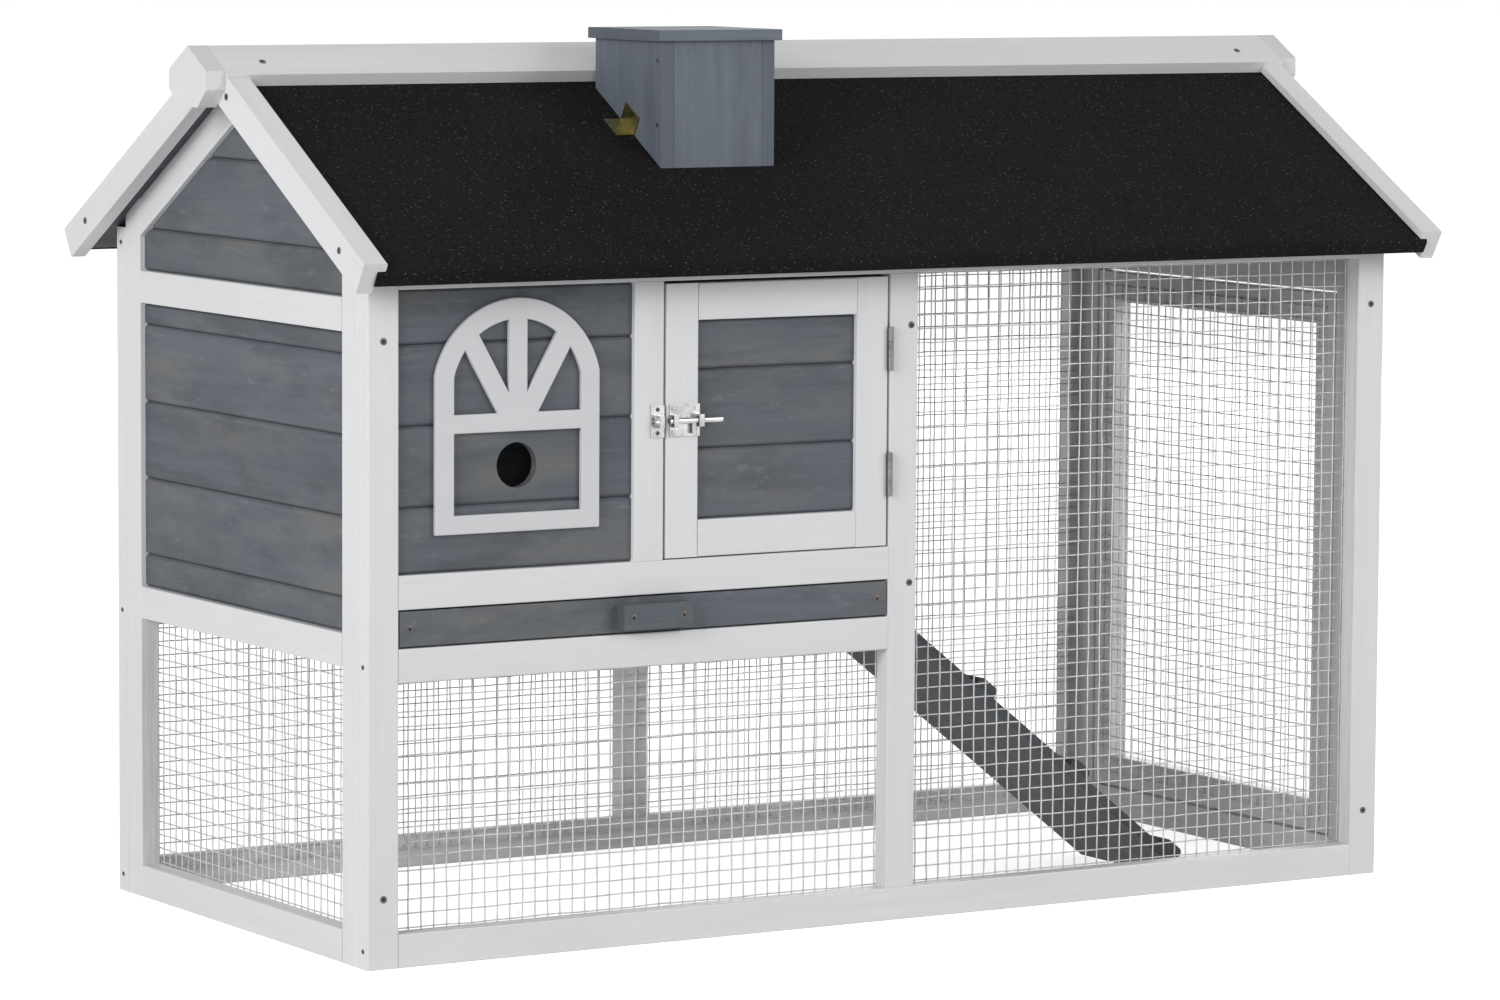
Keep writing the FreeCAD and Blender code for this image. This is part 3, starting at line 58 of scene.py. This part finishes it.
SLOTS = {part["node"]: part["material_slot"] for part in frame["record"]["subparts"]}
BODY_OF = {node: body for body, nodes in frame["record"]["behaviour"]["bodies"].items()
           for node in nodes}
WELD = 1e-5                  # metres: corners this near are one corner
FLAT = math.radians(1)       # faces that turn less than this are one face
SHARP = math.radians(25)     # edges that turn less than this are left alone
ALONG = 0.98                 # cosine: an edge this near the grain runs along the member
ACROSS = 0.6                 # cosine: a face that looks this much along the grain is cut across it
MIDDLE = (Vector(cad_box[0]) + Vector(cad_box[1])) / 2


# Node trees.

def add(tree, kind, settings=(), **inputs):
    """A shader node. An input is a socket to link or a value to set; its _ stands for a space."""
    node = tree.nodes.new(kind)
    for name, value in dict(settings).items():
        setattr(node, name, value)
    for name, value in inputs.items():
        socket = node.inputs[int(name[1:]) if name[1:].isdigit() else name.replace("_", " ")]
        if isinstance(value, bpy.types.NodeSocket):
            tree.links.new(value, socket)
        else:
            socket.default_value = value
    return node


def mathematics(tree, operation, *values):
    """One arithmetic node on values or sockets."""
    node = add(tree, "ShaderNodeMath", {"operation": operation},
               **{f"i{i}": value for i, value in enumerate(values)})
    return node.outputs[0]


def scaled(tree, vector, scale):
    """A vector times another, axis by axis."""
    return add(tree, "ShaderNodeVectorMath", {"operation": "MULTIPLY"},
               i0=vector, i1=scale).outputs[0]


def noise(tree, vector, scale, detail=3.0, roughness=0.55):
    """Soft noise from about 0.25 to 0.75."""
    return add(tree, "ShaderNodeTexNoise", Vector=vector, Scale=scale, Detail=detail,
               Roughness=roughness).outputs["Fac"]


def ramp(tree, value, low, high, to_low=0.0, to_high=1.0):
    """value from low..high to to_low..to_high, held at the ends."""
    return add(tree, "ShaderNodeMapRange", {"clamp": True}, Value=value, i1=low, i2=high,
               i3=to_low, i4=to_high).outputs[0]


def blended(tree, factor, first, second, how="MIX"):
    """Two colours, each a socket or three values, mixed by a factor."""
    node = add(tree, "ShaderNodeMix", {"data_type": "RGBA", "blend_type": how})
    for socket, value in ((node.inputs[0], factor), (node.inputs[6], first),
                          (node.inputs[7], second)):
        if isinstance(value, bpy.types.NodeSocket):
            tree.links.new(value, socket)
        else:
            socket.default_value = value if isinstance(value, float) else (*value, 1.0)
    return node.outputs[2]


def material(name):
    """A new material: its tree and its Principled shader."""
    made = bpy.data.materials.new(name)
    made.use_nodes = True
    return made, made.node_tree, made.node_tree.nodes["Principled BSDF"]


def bump(tree, shader, height, distance, strength=1.0, rounded=0.0):
    """Relief of a height socket, distance deep in metres, on edges rounded by a radius."""
    inputs = {"Height": height, "Distance": distance, "Strength": strength}
    if rounded:
        inputs["Normal"] = add(tree, "ShaderNodeBevel", {"samples": 4}, Radius=rounded).outputs[0]
    tree.links.new(add(tree, "ShaderNodeBump", **inputs).outputs[0], shader.inputs["Normal"])


# Materials.

def attribute(tree, name, output):
    """A value that the mesh carries."""
    return add(tree, "ShaderNodeAttribute", {"attribute_name": name}).outputs[output]


def timber(name, light, dark, stain, contrast, tone, rough, height, knots, blotch,
           soak=0.0, end_shade=0.2, scuffed=0.0):
    """Sawn softwood, in its light and dark wood and its stain.

    contrast is half the width of the change from dark wood to light, so less is harder. tone is
    how much one board differs from the next. height is the depth of the relief in metres.
    blotch, soak and scuffed are how much shows of the clouds of stain, the dark pools and the
    pale scratches. Each board carries its grain coordinates, its tone, its end grain, which also
    holds a painted shade on the front and back edges of the chimney sides, and which of its faces
    look into the hutch, where the coat is thinner and the dark wood shows.
    """
    made, tree, shader = material(name)
    grain = attribute(tree, "grain", "Vector")
    board = attribute(tree, "tone", "Fac")
    end = attribute(tree, "end_grain_and_painted_shade", "Fac")
    inside = attribute(tree, "inside", "Fac")

    # Figure of the wood: bands that drift along the board, streaks and fine fibres.
    drift = add(tree, "ShaderNodeTexNoise", Vector=scaled(tree, grain, (1.6, 7, 7)), Scale=1.0,
                Detail=1.0).outputs["Color"]
    bent = add(tree, "ShaderNodeVectorMath", {"operation": "ADD"}, i0=grain,
               i1=scaled(tree, drift, (0.0, 0.035, 0.035))).outputs[0]
    bands = noise(tree, scaled(tree, bent, (1.1, 34, 34)), 1.0, 3.0, 0.5)
    streaks = noise(tree, scaled(tree, bent, (3.5, 120, 120)), 1.0, 4.0)
    fibres = noise(tree, scaled(tree, grain, (16, 460, 460)), 1.0, 3.0)
    figure = mathematics(tree, "ADD", mathematics(tree, "MULTIPLY", bands, 0.40),
                         mathematics(tree, "ADD", mathematics(tree, "MULTIPLY", streaks, 0.30),
                                     mathematics(tree, "MULTIPLY", fibres, 0.30)))
    cloud = noise(tree, scaled(tree, grain, (6.5, 17, 17)), 1.0, 5.0, 0.62)
    pools = noise(tree, scaled(tree, bent, (5.0, 18, 18)), 1.7, 5.0, 0.62)
    scratch = noise(tree, scaled(tree, bent, (34, 95, 95)), 1.0, 4.0, 0.7)

    # Knots: about one cell in five has one in its middle.
    cells = add(tree, "ShaderNodeTexVoronoi", Vector=scaled(tree, bent, (5.5, 11, 11)), Scale=1.0)
    chosen = mathematics(tree, "GREATER_THAN", add(
        tree, "ShaderNodeSeparateColor", Color=cells.outputs["Color"]).outputs[0], 0.78)
    knot = mathematics(tree, "MULTIPLY", chosen, ramp(
        tree, cells.outputs["Distance"], 0.04, 0.10, knots, 0.0))

    # Colour: wood, stain, pools, scratches, thin coat inside, knots, end grain with the painted
    # shade it holds, board tone.
    colour = blended(tree, ramp(tree, figure, 0.5 - contrast, 0.5 + contrast), dark, light)
    colour = blended(tree, ramp(tree, cloud, 0.46, 0.62, 0.0, blotch), colour, stain)
    colour = blended(tree, ramp(tree, pools, 0.48, 0.64, 0.0, soak), colour,
                     [0.75 * c for c in dark])
    colour = blended(tree, ramp(tree, scratch, 0.60, 0.74, 0.0, scuffed), colour,
                     [1.9 * c for c in stain])
    bare = mathematics(tree, "MULTIPLY", inside, ramp(tree, figure, 0.40, 0.54, 0.28, 0.0))
    colour = blended(tree, bare, colour, [0.42 * c for c in dark])
    colour = blended(tree, mathematics(tree, "MULTIPLY", knot, 0.6), colour,
                     [0.5 * c for c in dark])
    # End grain is darker. On the front and back edges of the chimney sides, this darkening is
    # painted shade.
    colour = blended(tree, mathematics(tree, "MULTIPLY", end, end_shade), colour,
                     [0.6 * c for c in dark])
    shade = add(tree, "ShaderNodeCombineColor")
    level = ramp(tree, board, 0.0, 1.0, 1.0 - tone, 1.0 + tone)
    for socket in shade.inputs[:3]:
        tree.links.new(level, socket)
    colour = blended(tree, 1.0, colour, shade.outputs[0], "MULTIPLY")
    tree.links.new(colour, shader.inputs["Base Color"])

    tree.links.new(ramp(tree, figure, 0.3, 0.7, rough + 0.07, rough - 0.07),
                   shader.inputs["Roughness"])
    relief = mathematics(tree, "SUBTRACT", mathematics(tree, "ADD", mathematics(
        tree, "MULTIPLY", streaks, 0.6), mathematics(tree, "MULTIPLY", fibres, 0.4)), knot)
    bump(tree, shader, relief, height)
    return made


def roofing_felt():
    """Black mineral felt: fine grit with a few pale flakes."""
    made, tree, shader = material("roofing_felt")
    place = add(tree, "ShaderNodeTexCoord").outputs["Object"]
    grit = noise(tree, place, 520.0, 3.0, 0.7)
    cloud = noise(tree, place, 7.0, 3.0)
    flakes = add(tree, "ShaderNodeTexVoronoi", Vector=place, Scale=330.0)
    chance = add(tree, "ShaderNodeSeparateColor", Color=flakes.outputs["Color"]).outputs
    chosen = ramp(tree, chance[0], 0.66, 1.0, 0.0, 1.0)
    pale = mathematics(tree, "MULTIPLY", chosen, ramp(
        tree, flakes.outputs["Distance"], 0.14, 0.30, 1.0, 0.0))
    colour = blended(tree, ramp(tree, grit, 0.3, 0.7), (0.004, 0.004, 0.0045),
                     (0.018, 0.018, 0.0195))
    colour = blended(tree, ramp(tree, cloud, 0.35, 0.75, 0.0, 0.5), colour, (0.017, 0.0165, 0.016))
    colour = blended(tree, mathematics(tree, "MULTIPLY", pale, 0.8), colour, (0.19, 0.165, 0.135))
    tree.links.new(colour, shader.inputs["Base Color"])
    tree.links.new(ramp(tree, grit, 0.3, 0.7, 0.98, 0.82), shader.inputs["Roughness"])
    shader.inputs["Specular IOR Level"].default_value = 0.05
    bump(tree, shader, mathematics(tree, "ADD", grit, pale), distance=0.0006, strength=0.8)
    return made


def metal(name, colour, worn, rough, scale, rounded=0.0, plating=1.0):
    """Plated steel: cloudy plating, small spangles and a little tarnish. plating is how metallic
    it looks, and rounded the radius in metres that its edges catch the light with."""
    made, tree, shader = material(name)
    place = add(tree, "ShaderNodeTexCoord").outputs["Object"]
    cloud = noise(tree, place, scale, 4.0)
    spangle = add(tree, "ShaderNodeTexVoronoi", Vector=place, Scale=scale * 3).outputs["Color"]
    spots = add(tree, "ShaderNodeSeparateColor", Color=spangle).outputs[0]
    tint = blended(tree, ramp(tree, cloud, 0.35, 0.7), colour, worn)
    tint = blended(tree, mathematics(tree, "MULTIPLY", spots, 0.18), tint,
                   [min(1.0, 1.25 * c) for c in colour])
    tree.links.new(tint, shader.inputs["Base Color"])
    shader.inputs["Metallic"].default_value = plating
    tree.links.new(ramp(tree, cloud, 0.3, 0.7, rough - 0.08, rough + 0.12),
                   shader.inputs["Roughness"])
    bump(tree, shader, cloud, distance=0.00004, strength=0.6, rounded=rounded)
    return made


def screw_steel():
    """Bronzed heads; the cross recess is painted near black, a painted shade darker than the dome
    round it.
    """
    made, tree, shader = material("screw_steel")
    place = add(tree, "ShaderNodeTexCoord").outputs["Object"]
    cloud = noise(tree, place, 700.0, 3.0)
    tint = blended(tree, ramp(tree, cloud, 0.3, 0.7), (0.17, 0.15, 0.13), (0.09, 0.08, 0.07))
    # Painted shade: the corners of the cross recess are drawn near black.
    tint = blended(tree, attribute(tree, "recess", "Fac"), tint, (0.012, 0.011, 0.010))
    tree.links.new(tint, shader.inputs["Base Color"])
    shader.inputs["Metallic"].default_value = 0.8
    tree.links.new(ramp(tree, cloud, 0.3, 0.7, 0.36, 0.55), shader.inputs["Roughness"])
    bump(tree, shader, cloud, distance=0.00003, strength=0.5)
    return made


MATERIALS = {
    "white_timber": timber(
        "white_timber", light=(0.735, 0.738, 0.75), dark=(0.655, 0.66, 0.672),
        stain=(0.67, 0.672, 0.68), contrast=0.22, tone=0.015, rough=0.45, height=0.00010,
        knots=0.10, blotch=0.5),
    "grey_timber": timber(
        "grey_timber", light=(0.099, 0.114, 0.134), dark=(0.067, 0.078, 0.094),
        stain=(0.113, 0.116, 0.118), contrast=0.16, tone=0.07, rough=0.68, height=0.00030,
        knots=0.5, blotch=0.9, soak=0.65, scuffed=0.4),
    "dark_timber": timber(
        "dark_timber", light=(0.080, 0.088, 0.098), dark=(0.046, 0.052, 0.060),
        stain=(0.074, 0.074, 0.074), contrast=0.16, tone=0.07, rough=0.70, height=0.00030,
        knots=0.8, blotch=0.6, soak=0.4, scuffed=0.3),
    "natural_board": timber(
        "natural_board", light=(0.50, 0.41, 0.30), dark=(0.40, 0.31, 0.21),
        stain=(0.52, 0.44, 0.34), contrast=0.2, tone=0.05, rough=0.6, height=0.0002,
        knots=0.6, blotch=0.5),
    "roofing_felt": roofing_felt(),
    "galvanised_wire": metal(
        "galvanised_wire", (0.66, 0.665, 0.67), (0.49, 0.495, 0.50), rough=0.45, scale=90.0,
        plating=0.2),
    "nickel": metal(
        "nickel", (0.58, 0.58, 0.575), (0.30, 0.30, 0.295), rough=0.22, scale=60.0,
        rounded=0.0005),
    "zinc_hinge": metal(
        "zinc_hinge", (0.22, 0.22, 0.22), (0.11, 0.11, 0.11), rough=0.36, scale=120.0,
        rounded=0.0003),
    "brass_plate": metal(
        "brass_plate", (0.36, 0.32, 0.13), (0.13, 0.13, 0.07), rough=0.36, scale=110.0,
        rounded=0.0004),
    "screw_steel": screw_steel(),
}
# By the first word of a node's name: the chimney is a shade bluer than the walls, and the arched
# trim a shade darker than the frame.
OWN_LOOK = {
    "chimney": timber(
        "chimney_timber", light=(0.128, 0.150, 0.180), dark=(0.096, 0.112, 0.136),
        stain=(0.108, 0.126, 0.150), contrast=0.16, tone=0.06, rough=0.62, height=0.00025,
        knots=0.2, blotch=0.8, soak=0.6, end_shade=0.45, scuffed=0.25),
    "arched": timber(
        "trim_timber", light=(0.62, 0.62, 0.64), dark=(0.575, 0.578, 0.60),
        stain=(0.585, 0.585, 0.605), contrast=0.22, tone=0.015, rough=0.5, height=0.00008,
        knots=0.0, blotch=0.5),
}


# Pieces that stand in for the solids.

UPRIGHT_GRAIN = ("chimney_sides", "chimney_ends")
NEVER_INSIDE = ("chimney_sides", "chimney_ends", "chimney_cap", "bargeboards", "ridge_boards",
                "ridge_end_blocks", "ramp_board", "ramp_cleats", "tray_front", "tray_handle",
                "arched_window_trim", "window_boards", "vent_board", "front_door_boards")


def welded_member(bm, name):
    """The node's own mesh with shared corners."""
    bm.from_mesh(frame["nodes"][name].data)
    bmesh.ops.remove_doubles(bm, verts=bm.verts, dist=WELD)


def islands(bm):
    """The separate members of a mesh, each a list of vertices, in a fixed order."""
    left = set(bm.verts)
    found = []
    while left:
        member, edge_of = [], [left.pop()]
        while edge_of:
            vert = edge_of.pop()
            member.append(vert)
            for edge in vert.link_edges:
                other = edge.other_vert(vert)
                if other in left:
                    left.remove(other)
                    edge_of.append(other)
        found.append(member)
    return sorted(found, key=lambda member: [round(min(v.co[i] for v in member), 4)
                                             for i in range(3)])


def centre_of(member):
    """The mean of a member's corners, the same in whatever order they come."""
    return Vector([math.fsum(vert.co[i] for vert in member) / len(member) for i in range(3)])


def direction(edge):
    return (edge.verts[1].co - edge.verts[0].co).normalized()


def forward(edge):
    """The edge's direction, turned so that its largest part is positive."""
    way = direction(edge)
    return -way if way[max(range(3), key=lambda i: abs(round(way[i], 3)))] < 0 else way


def edge_rank(edge):
    """A longer edge comes first. Of equals, the one most along the hutch, then the one most
    across it, so that the choice doesn't hang on the order in which they come."""
    way, middle = forward(edge), (edge.verts[0].co + edge.verts[1].co) / 2
    return [round(value, 5) for value in (edge.calc_length(), way.x, way.y, -way.z, *middle)]


def outward(face):
    """How far a face looks away from the middle of the hutch."""
    return round((face.calc_center_median() - MIDDLE).dot(face.normal), 5)


def grain_axes(member, name):
    """Along the longest edge, and two directions square to it."""
    edges = {edge for vert in member for edge in vert.link_edges}
    along = Vector((0, 0, 1)) if name in UPRIGHT_GRAIN else forward(max(edges, key=edge_rank))
    world = [Vector((1, 0, 0)), Vector((0, 1, 0)), Vector((0, 0, 1))]
    side = min(world, key=lambda axis: abs(round(axis.dot(along), 3)))
    side = (side - side.dot(along) * along).normalized()
    return along, side, along.cross(side)


def lay_grain(bm, name):
    """Grain coordinates, tone, end grain with a painted shade on the chimney sides' edges, and
    inner faces for each member.
    """
    grain = bm.verts.layers.float_vector.new("grain")
    tone = bm.verts.layers.float.new("tone")
    end = bm.loops.layers.float.new("end_grain_and_painted_shade")
    inside = bm.loops.layers.float.new("inside")
    chance = random.Random(name)
    for member in islands(bm):
        along, side, up = grain_axes(member, name)
        shift = Vector((chance.uniform(0, 9), chance.uniform(-0.05, 0.05),
                        chance.uniform(0.02, 0.09)))
        middle = centre_of(member)
        level = chance.random()
        for vert in member:
            spot = vert.co - middle
            vert[grain] = Vector((spot.dot(along), spot.dot(side), spot.dot(up))) + shift
            vert[tone] = level
        for face in {face for vert in member for face in vert.link_faces}:
            # Painted shade: the front and back edges of the chimney sides are marked like end
            # grain, so they are drawn darker.
            painted_shade_strip = name == "chimney_sides" and abs(face.normal.y) > ACROSS
            across = 1.0 if painted_shade_strip or abs(face.normal.dot(along)) > ACROSS else 0.0
            looks_in = 1.0 if name not in NEVER_INSIDE and outward(face) < 0 else 0.0
            for loop in face.loops:
                loop[end] = across
                loop[inside] = looks_in


def stand_in(bm, name, kind):
    """Put a finished mesh in place of a node, with the node's slot and its look."""
    mesh = bpy.data.meshes.new(f"{name}_{kind}")
    bm.to_mesh(mesh)
    bm.free()
    piece = bpy.data.objects.new(f"{name}_{kind}", mesh)
    bpy.context.scene.collection.objects.link(piece)
    mesh.materials.append(OWN_LOOK.get(name.split("_")[0], MATERIALS[SLOTS[name]]))
    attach(piece, BODY_OF[name])
    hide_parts(name)


def whole_faces(name):
    """The node's own mesh with shared corners and whole flat faces."""
    bm = bmesh.new()
    welded_member(bm, name)
    bmesh.ops.dissolve_limit(bm, angle_limit=FLAT, verts=bm.verts, edges=bm.edges)
    bm.normal_update()
    return bm


def eased_member(name, ease, every_edge=False, segments=2):
    """Timber: the node's shape with its long edges eased, or every edge, and its grain laid."""
    bm = whole_faces(name)
    chosen = []
    for member in islands(bm):
        along = grain_axes(member, name)[0]
        for edge in {edge for vert in member for edge in vert.link_edges}:
            if len(edge.link_faces) != 2 or edge.calc_face_angle_signed(0.0) < SHARP:
                continue
            if every_edge or abs(direction(edge).dot(along)) > ALONG:
                chosen.append(edge)
    chosen.sort(key=lambda edge: edge.index)
    bmesh.ops.bevel(bm, geom=chosen, offset=ease, offset_type="OFFSET", segments=segments,
                    profile=0.5, affect="EDGES", clamp_overlap=True)
    bm.normal_update()
    lay_grain(bm, name)
    stand_in(bm, name, "eased")


def rolled_felt(name, roll=0.004, segments=6):
    """The felt with its eave rolled over the edge of the boards."""
    bm = whole_faces(name)
    chosen = []
    for member in islands(bm):
        long_edges = [edge for edge in {edge for vert in member for edge in vert.link_edges}
                      if abs(direction(edge).x) > ALONG]
        reach = max(abs(vert.co.y) for vert in member)
        outer = [edge for edge in long_edges if reach - abs(edge.verts[0].co.y) < roll]
        chosen.append(max(outer, key=lambda edge: edge.verts[0].co.z))
    bmesh.ops.bevel(bm, geom=chosen, offset=roll, offset_type="OFFSET", segments=segments,
                    profile=0.5, affect="EDGES", clamp_overlap=False)
    bm.normal_update()
    stand_in(bm, name, "rolled")


def wavy_wires(name, sides=6, step_length=0.008, sway=0.00045 / 1.3, thicker=1.5):
    """Each straight wire as a tube, thicker than its solid, that wanders a little in the plane of
    its panel: a slow wave, and a quicker and smaller one."""
    source = bmesh.new()
    welded_member(source, name)
    bm = bmesh.new()
    chance = random.Random(name)
    found = []
    for member in islands(source):
        low = Vector([min(vert.co[i] for vert in member) for i in range(3)])
        high = Vector([max(vert.co[i] for vert in member) for i in range(3)])
        found.append((low, high))
    source.free()
    spread = [max(high[i] for low, high in found) - min(low[i] for low, high in found)
              for i in range(3)]
    flat = spread.index(min(spread))
    for low, high in found:
        size = high - low
        along = max(range(3), key=lambda i: size[i])
        across = 3 - along - flat
        radius = thicker * size[flat] / 2
        steps = max(4, round(size[along] / step_length))
        waves = [(chance.uniform(35, 70), chance.uniform(0, 6.3), chance.uniform(0.3, 1.0)),
                 (chance.uniform(110, 180), chance.uniform(0, 6.3), chance.uniform(0.2, 0.6))]
        rings = []
        for step in range(steps + 1):
            reached = size[along] * step / steps
            centre = (low + high) / 2
            centre[along] = low[along] + reached
            centre[across] += sway * sum(share * math.sin(rate * reached + phase)
                                         for rate, phase, share in waves)
            ring = []
            for k in range(sides):
                turn = 2 * math.pi * k / sides
                spot = centre.copy()
                spot[flat] += radius * math.cos(turn)
                spot[across] += radius * math.sin(turn)
                ring.append(bm.verts.new(spot))
            rings.append(ring)
        for first, second in zip(rings, rings[1:]):
            for k in range(sides):
                bm.faces.new((first[k], first[(k + 1) % sides],
                              second[(k + 1) % sides], second[k])).smooth = True
        bm.faces.new(rings[0])
        bm.faces.new(rings[-1])
    bmesh.ops.recalc_face_normals(bm, faces=bm.faces)
    stand_in(bm, name, "wavy")


def crossed_heads(name, rings=6, spokes=32, slot_half=0.14, slot_reach=0.62, sunk=0.75, rim=0.45):
    """Domed screw heads with a cross recess, one for each plain disc of the node. The recess is
    in shares of the head's radius and sunk by a share of its height. The rim of the dome stands
    at a share of its height."""
    source = bmesh.new()
    welded_member(source, name)
    bm = bmesh.new()
    # Marks the cross recess, which the screw material paints near black as painted shade.
    recess = bm.verts.layers.float.new("recess")
    for member in islands(source):
        faces = {face for vert in member for face in vert.link_faces}
        flat_face = max(faces, key=lambda face: (round(face.calc_area(), 9),
                                                 outward(face)))
        out = flat_face.normal.copy()
        middle = centre_of(member)
        depths = [(vert.co - middle).dot(out) for vert in member]
        base, height = min(depths), max(depths) - min(depths)
        side = out.orthogonal().normalized()
        up = out.cross(side)
        radius = max((vert.co - middle - (vert.co - middle).dot(out) * out).length
                     for vert in member)
        tilt = random.Random(f"{name} {middle.x:.3f} {middle.y:.3f} {middle.z:.3f}").uniform(0, 1.5)
        loops = []
        for ring in range(1, rings + 1):
            share = ring / rings
            loop = []
            for k in range(spokes):
                turn = 2 * math.pi * k / spokes
                u, v = share * math.cos(turn), share * math.sin(turn)
                near, far = sorted((abs(u), abs(v)))
                in_slot = near < slot_half and far < slot_reach
                level = height * (rim + (1 - rim) * math.sqrt(max(0.0, 1 - share * share)))
                if in_slot:
                    level *= 1 - sunk
                spot = (side * math.cos(tilt) + up * math.sin(tilt)) * u * radius
                spot += (up * math.cos(tilt) - side * math.sin(tilt)) * v * radius
                vert = bm.verts.new(middle + spot + out * (base + level))
                vert[recess] = 1.0 if in_slot else 0.0
                loop.append(vert)
            loops.append(loop)
        foot = []
        for vert in loops[-1]:
            spot = vert.co - middle
            spot -= spot.dot(out) * out
            foot.append(bm.verts.new(middle + spot + out * base))
        loops.append(foot)
        centre = bm.verts.new(middle + out * (base + height * (1 - sunk)))
        centre[recess] = 1.0
        for k in range(spokes):
            bm.faces.new((centre, loops[0][k], loops[0][(k + 1) % spokes]))
        for first, second in zip(loops, loops[1:]):
            for k in range(spokes):
                after = (k + 1) % spokes
                bm.faces.new((first[k], second[k], second[after], first[after]))
        bm.faces.new(foot)
    source.free()
    bmesh.ops.recalc_face_normals(bm, faces=bm.faces)
    stand_in(bm, name, "crossed")


# How far the edges are eased, in metres, for each timber slot and for single nodes.
SLOT_EASE = {"white_timber": 0.0011, "grey_timber": 0.0006, "dark_timber": 0.0012,
             "natural_board": 0.0005}
NODE_EASE = {"ridge_boards": 0.0002, "ridge_end_blocks": 0.0002}
ALL_ROUND = ("arched_window_trim",)
HEADS = ("fixed_screws", "tray_screws")
for node_name, slot_name in SLOTS.items():
    if slot_name in SLOT_EASE:
        eased_member(node_name, NODE_EASE.get(node_name, SLOT_EASE[slot_name]),
                     every_edge=node_name in ALL_ROUND)
    elif slot_name == "roofing_felt":
        rolled_felt(node_name)
    elif slot_name == "galvanised_wire":
        wavy_wires(node_name)
    elif node_name in HEADS:
        crossed_heads(node_name)
    else:
        cad_mesh = frame["nodes"][node_name].data
        cad_mesh.materials.clear()
        cad_mesh.materials.append(MATERIALS[slot_name])


# Floor, light and camera.

FLOOR_SIZE = 60.0       # metres
FLOOR_GLOW = 0.76       # lifts the floor to white, and leaves the hutch's shadow on it


def seen_directly(tree):
    """1 where a camera ray, a reflection or a ray through glass looks."""
    path = add(tree, "ShaderNodeLightPath").outputs
    either = mathematics(tree, "MAXIMUM", path["Is Camera Ray"], path["Is Glossy Ray"])
    return mathematics(tree, "MAXIMUM", either, path["Is Transmission Ray"])


def studio_floor():
    """A wide pale floor under the hutch."""
    bm = bmesh.new()
    half = FLOOR_SIZE / 2
    lowest = cad_box[0][2]
    corners = [bm.verts.new((x, y, lowest)) for x, y in
               ((-half, -half), (half, -half), (half, half), (-half, half))]
    bm.faces.new(corners)
    mesh = bpy.data.meshes.new("studio_floor")
    bm.to_mesh(mesh)
    bm.free()
    floor = bpy.data.objects.new("studio_floor", mesh)
    bpy.context.scene.collection.objects.link(floor)
    made, tree, shader = material("studio_floor")
    shader.inputs["Roughness"].default_value = 1.0
    shader.inputs["Specular IOR Level"].default_value = 0.0
    shade = noise(tree, add(tree, "ShaderNodeTexCoord").outputs["Object"], 3.0)
    tree.links.new(blended(tree, shade, (0.80, 0.80, 0.80), (0.82, 0.82, 0.82)),
                   shader.inputs["Base Color"])
    shader.inputs["Emission Color"].default_value = (1, 1, 1, 1)
    tree.links.new(mathematics(tree, "MULTIPLY", seen_directly(tree), FLOOR_GLOW),
                   shader.inputs["Emission Strength"])
    mesh.materials.append(made)


def studio_world(level):
    """Soft light from all round at a level, and plain white where it is seen."""
    world = bpy.data.worlds.new("studio")
    world.use_nodes = True
    tree = world.node_tree
    tree.nodes.clear()
    light = add(tree, "ShaderNodeBackground", Color=(1, 1, 1, 1), Strength=level)
    white = add(tree, "ShaderNodeBackground", Color=(1, 1, 1, 1), Strength=1.0)
    mixed = add(tree, "ShaderNodeMixShader", i0=seen_directly(tree), i1=light.outputs[0],
                i2=white.outputs[0])
    add(tree, "ShaderNodeOutputWorld", Surface=mixed.outputs[0])
    bpy.context.scene.world = world


def soft_lamp(name, place, size, watts):
    """A square lamp of a size in metres that faces the middle of the hutch."""
    lamp = bpy.data.lights.new(name, "AREA")
    lamp.shape = "SQUARE"
    lamp.size = size
    lamp.energy = watts
    lamp.color = (1.0, 1.0, 1.0)
    held = bpy.data.objects.new(name, lamp)
    bpy.context.scene.collection.objects.link(held)
    held.location = place
    held.rotation_euler = (MIDDLE - Vector(place)).to_track_quat("-Z", "Y").to_euler()


def photo_camera():
    """A long lens in front and to the left, above the chimney's height, turned a little down."""
    lens, sensor = 146.74, 36.0
    place = (-2.9905, -4.8974, 0.9457)
    turn, tilt, roll = (math.radians(angle) for angle in (-31.347, -5.795, 0.352))
    data = bpy.data.cameras.new("camera")
    data.lens = lens
    data.sensor_width = sensor
    data.sensor_fit = "HORIZONTAL"
    data.clip_end = 200.0
    camera = bpy.data.objects.new("camera", data)
    bpy.context.scene.collection.objects.link(camera)
    level = math.pi / 2     # a camera without a turn looks straight down
    camera.matrix_world = (
        Matrix.Translation(place) @ Matrix.Rotation(turn, 4, "Z")
        @ Matrix.Rotation(level + tilt, 4, "X") @ Matrix.Rotation(roll, 4, "Z"))
    bpy.context.scene.camera = camera


studio_floor()
studio_world(level=0.39)
soft_lamp("key", (-5.0, -2.2, 2.1), size=2.4, watts=166.0)
soft_lamp("front", (2.8, -4.5, 2.4), size=2.2, watts=96.0)
soft_lamp("rear_fill", (4.2, 4.6, 2.2), size=2.6, watts=70.0)
photo_camera()
bpy.context.scene.view_settings.view_transform = "Standard"

bpy.context.view_layer.update()
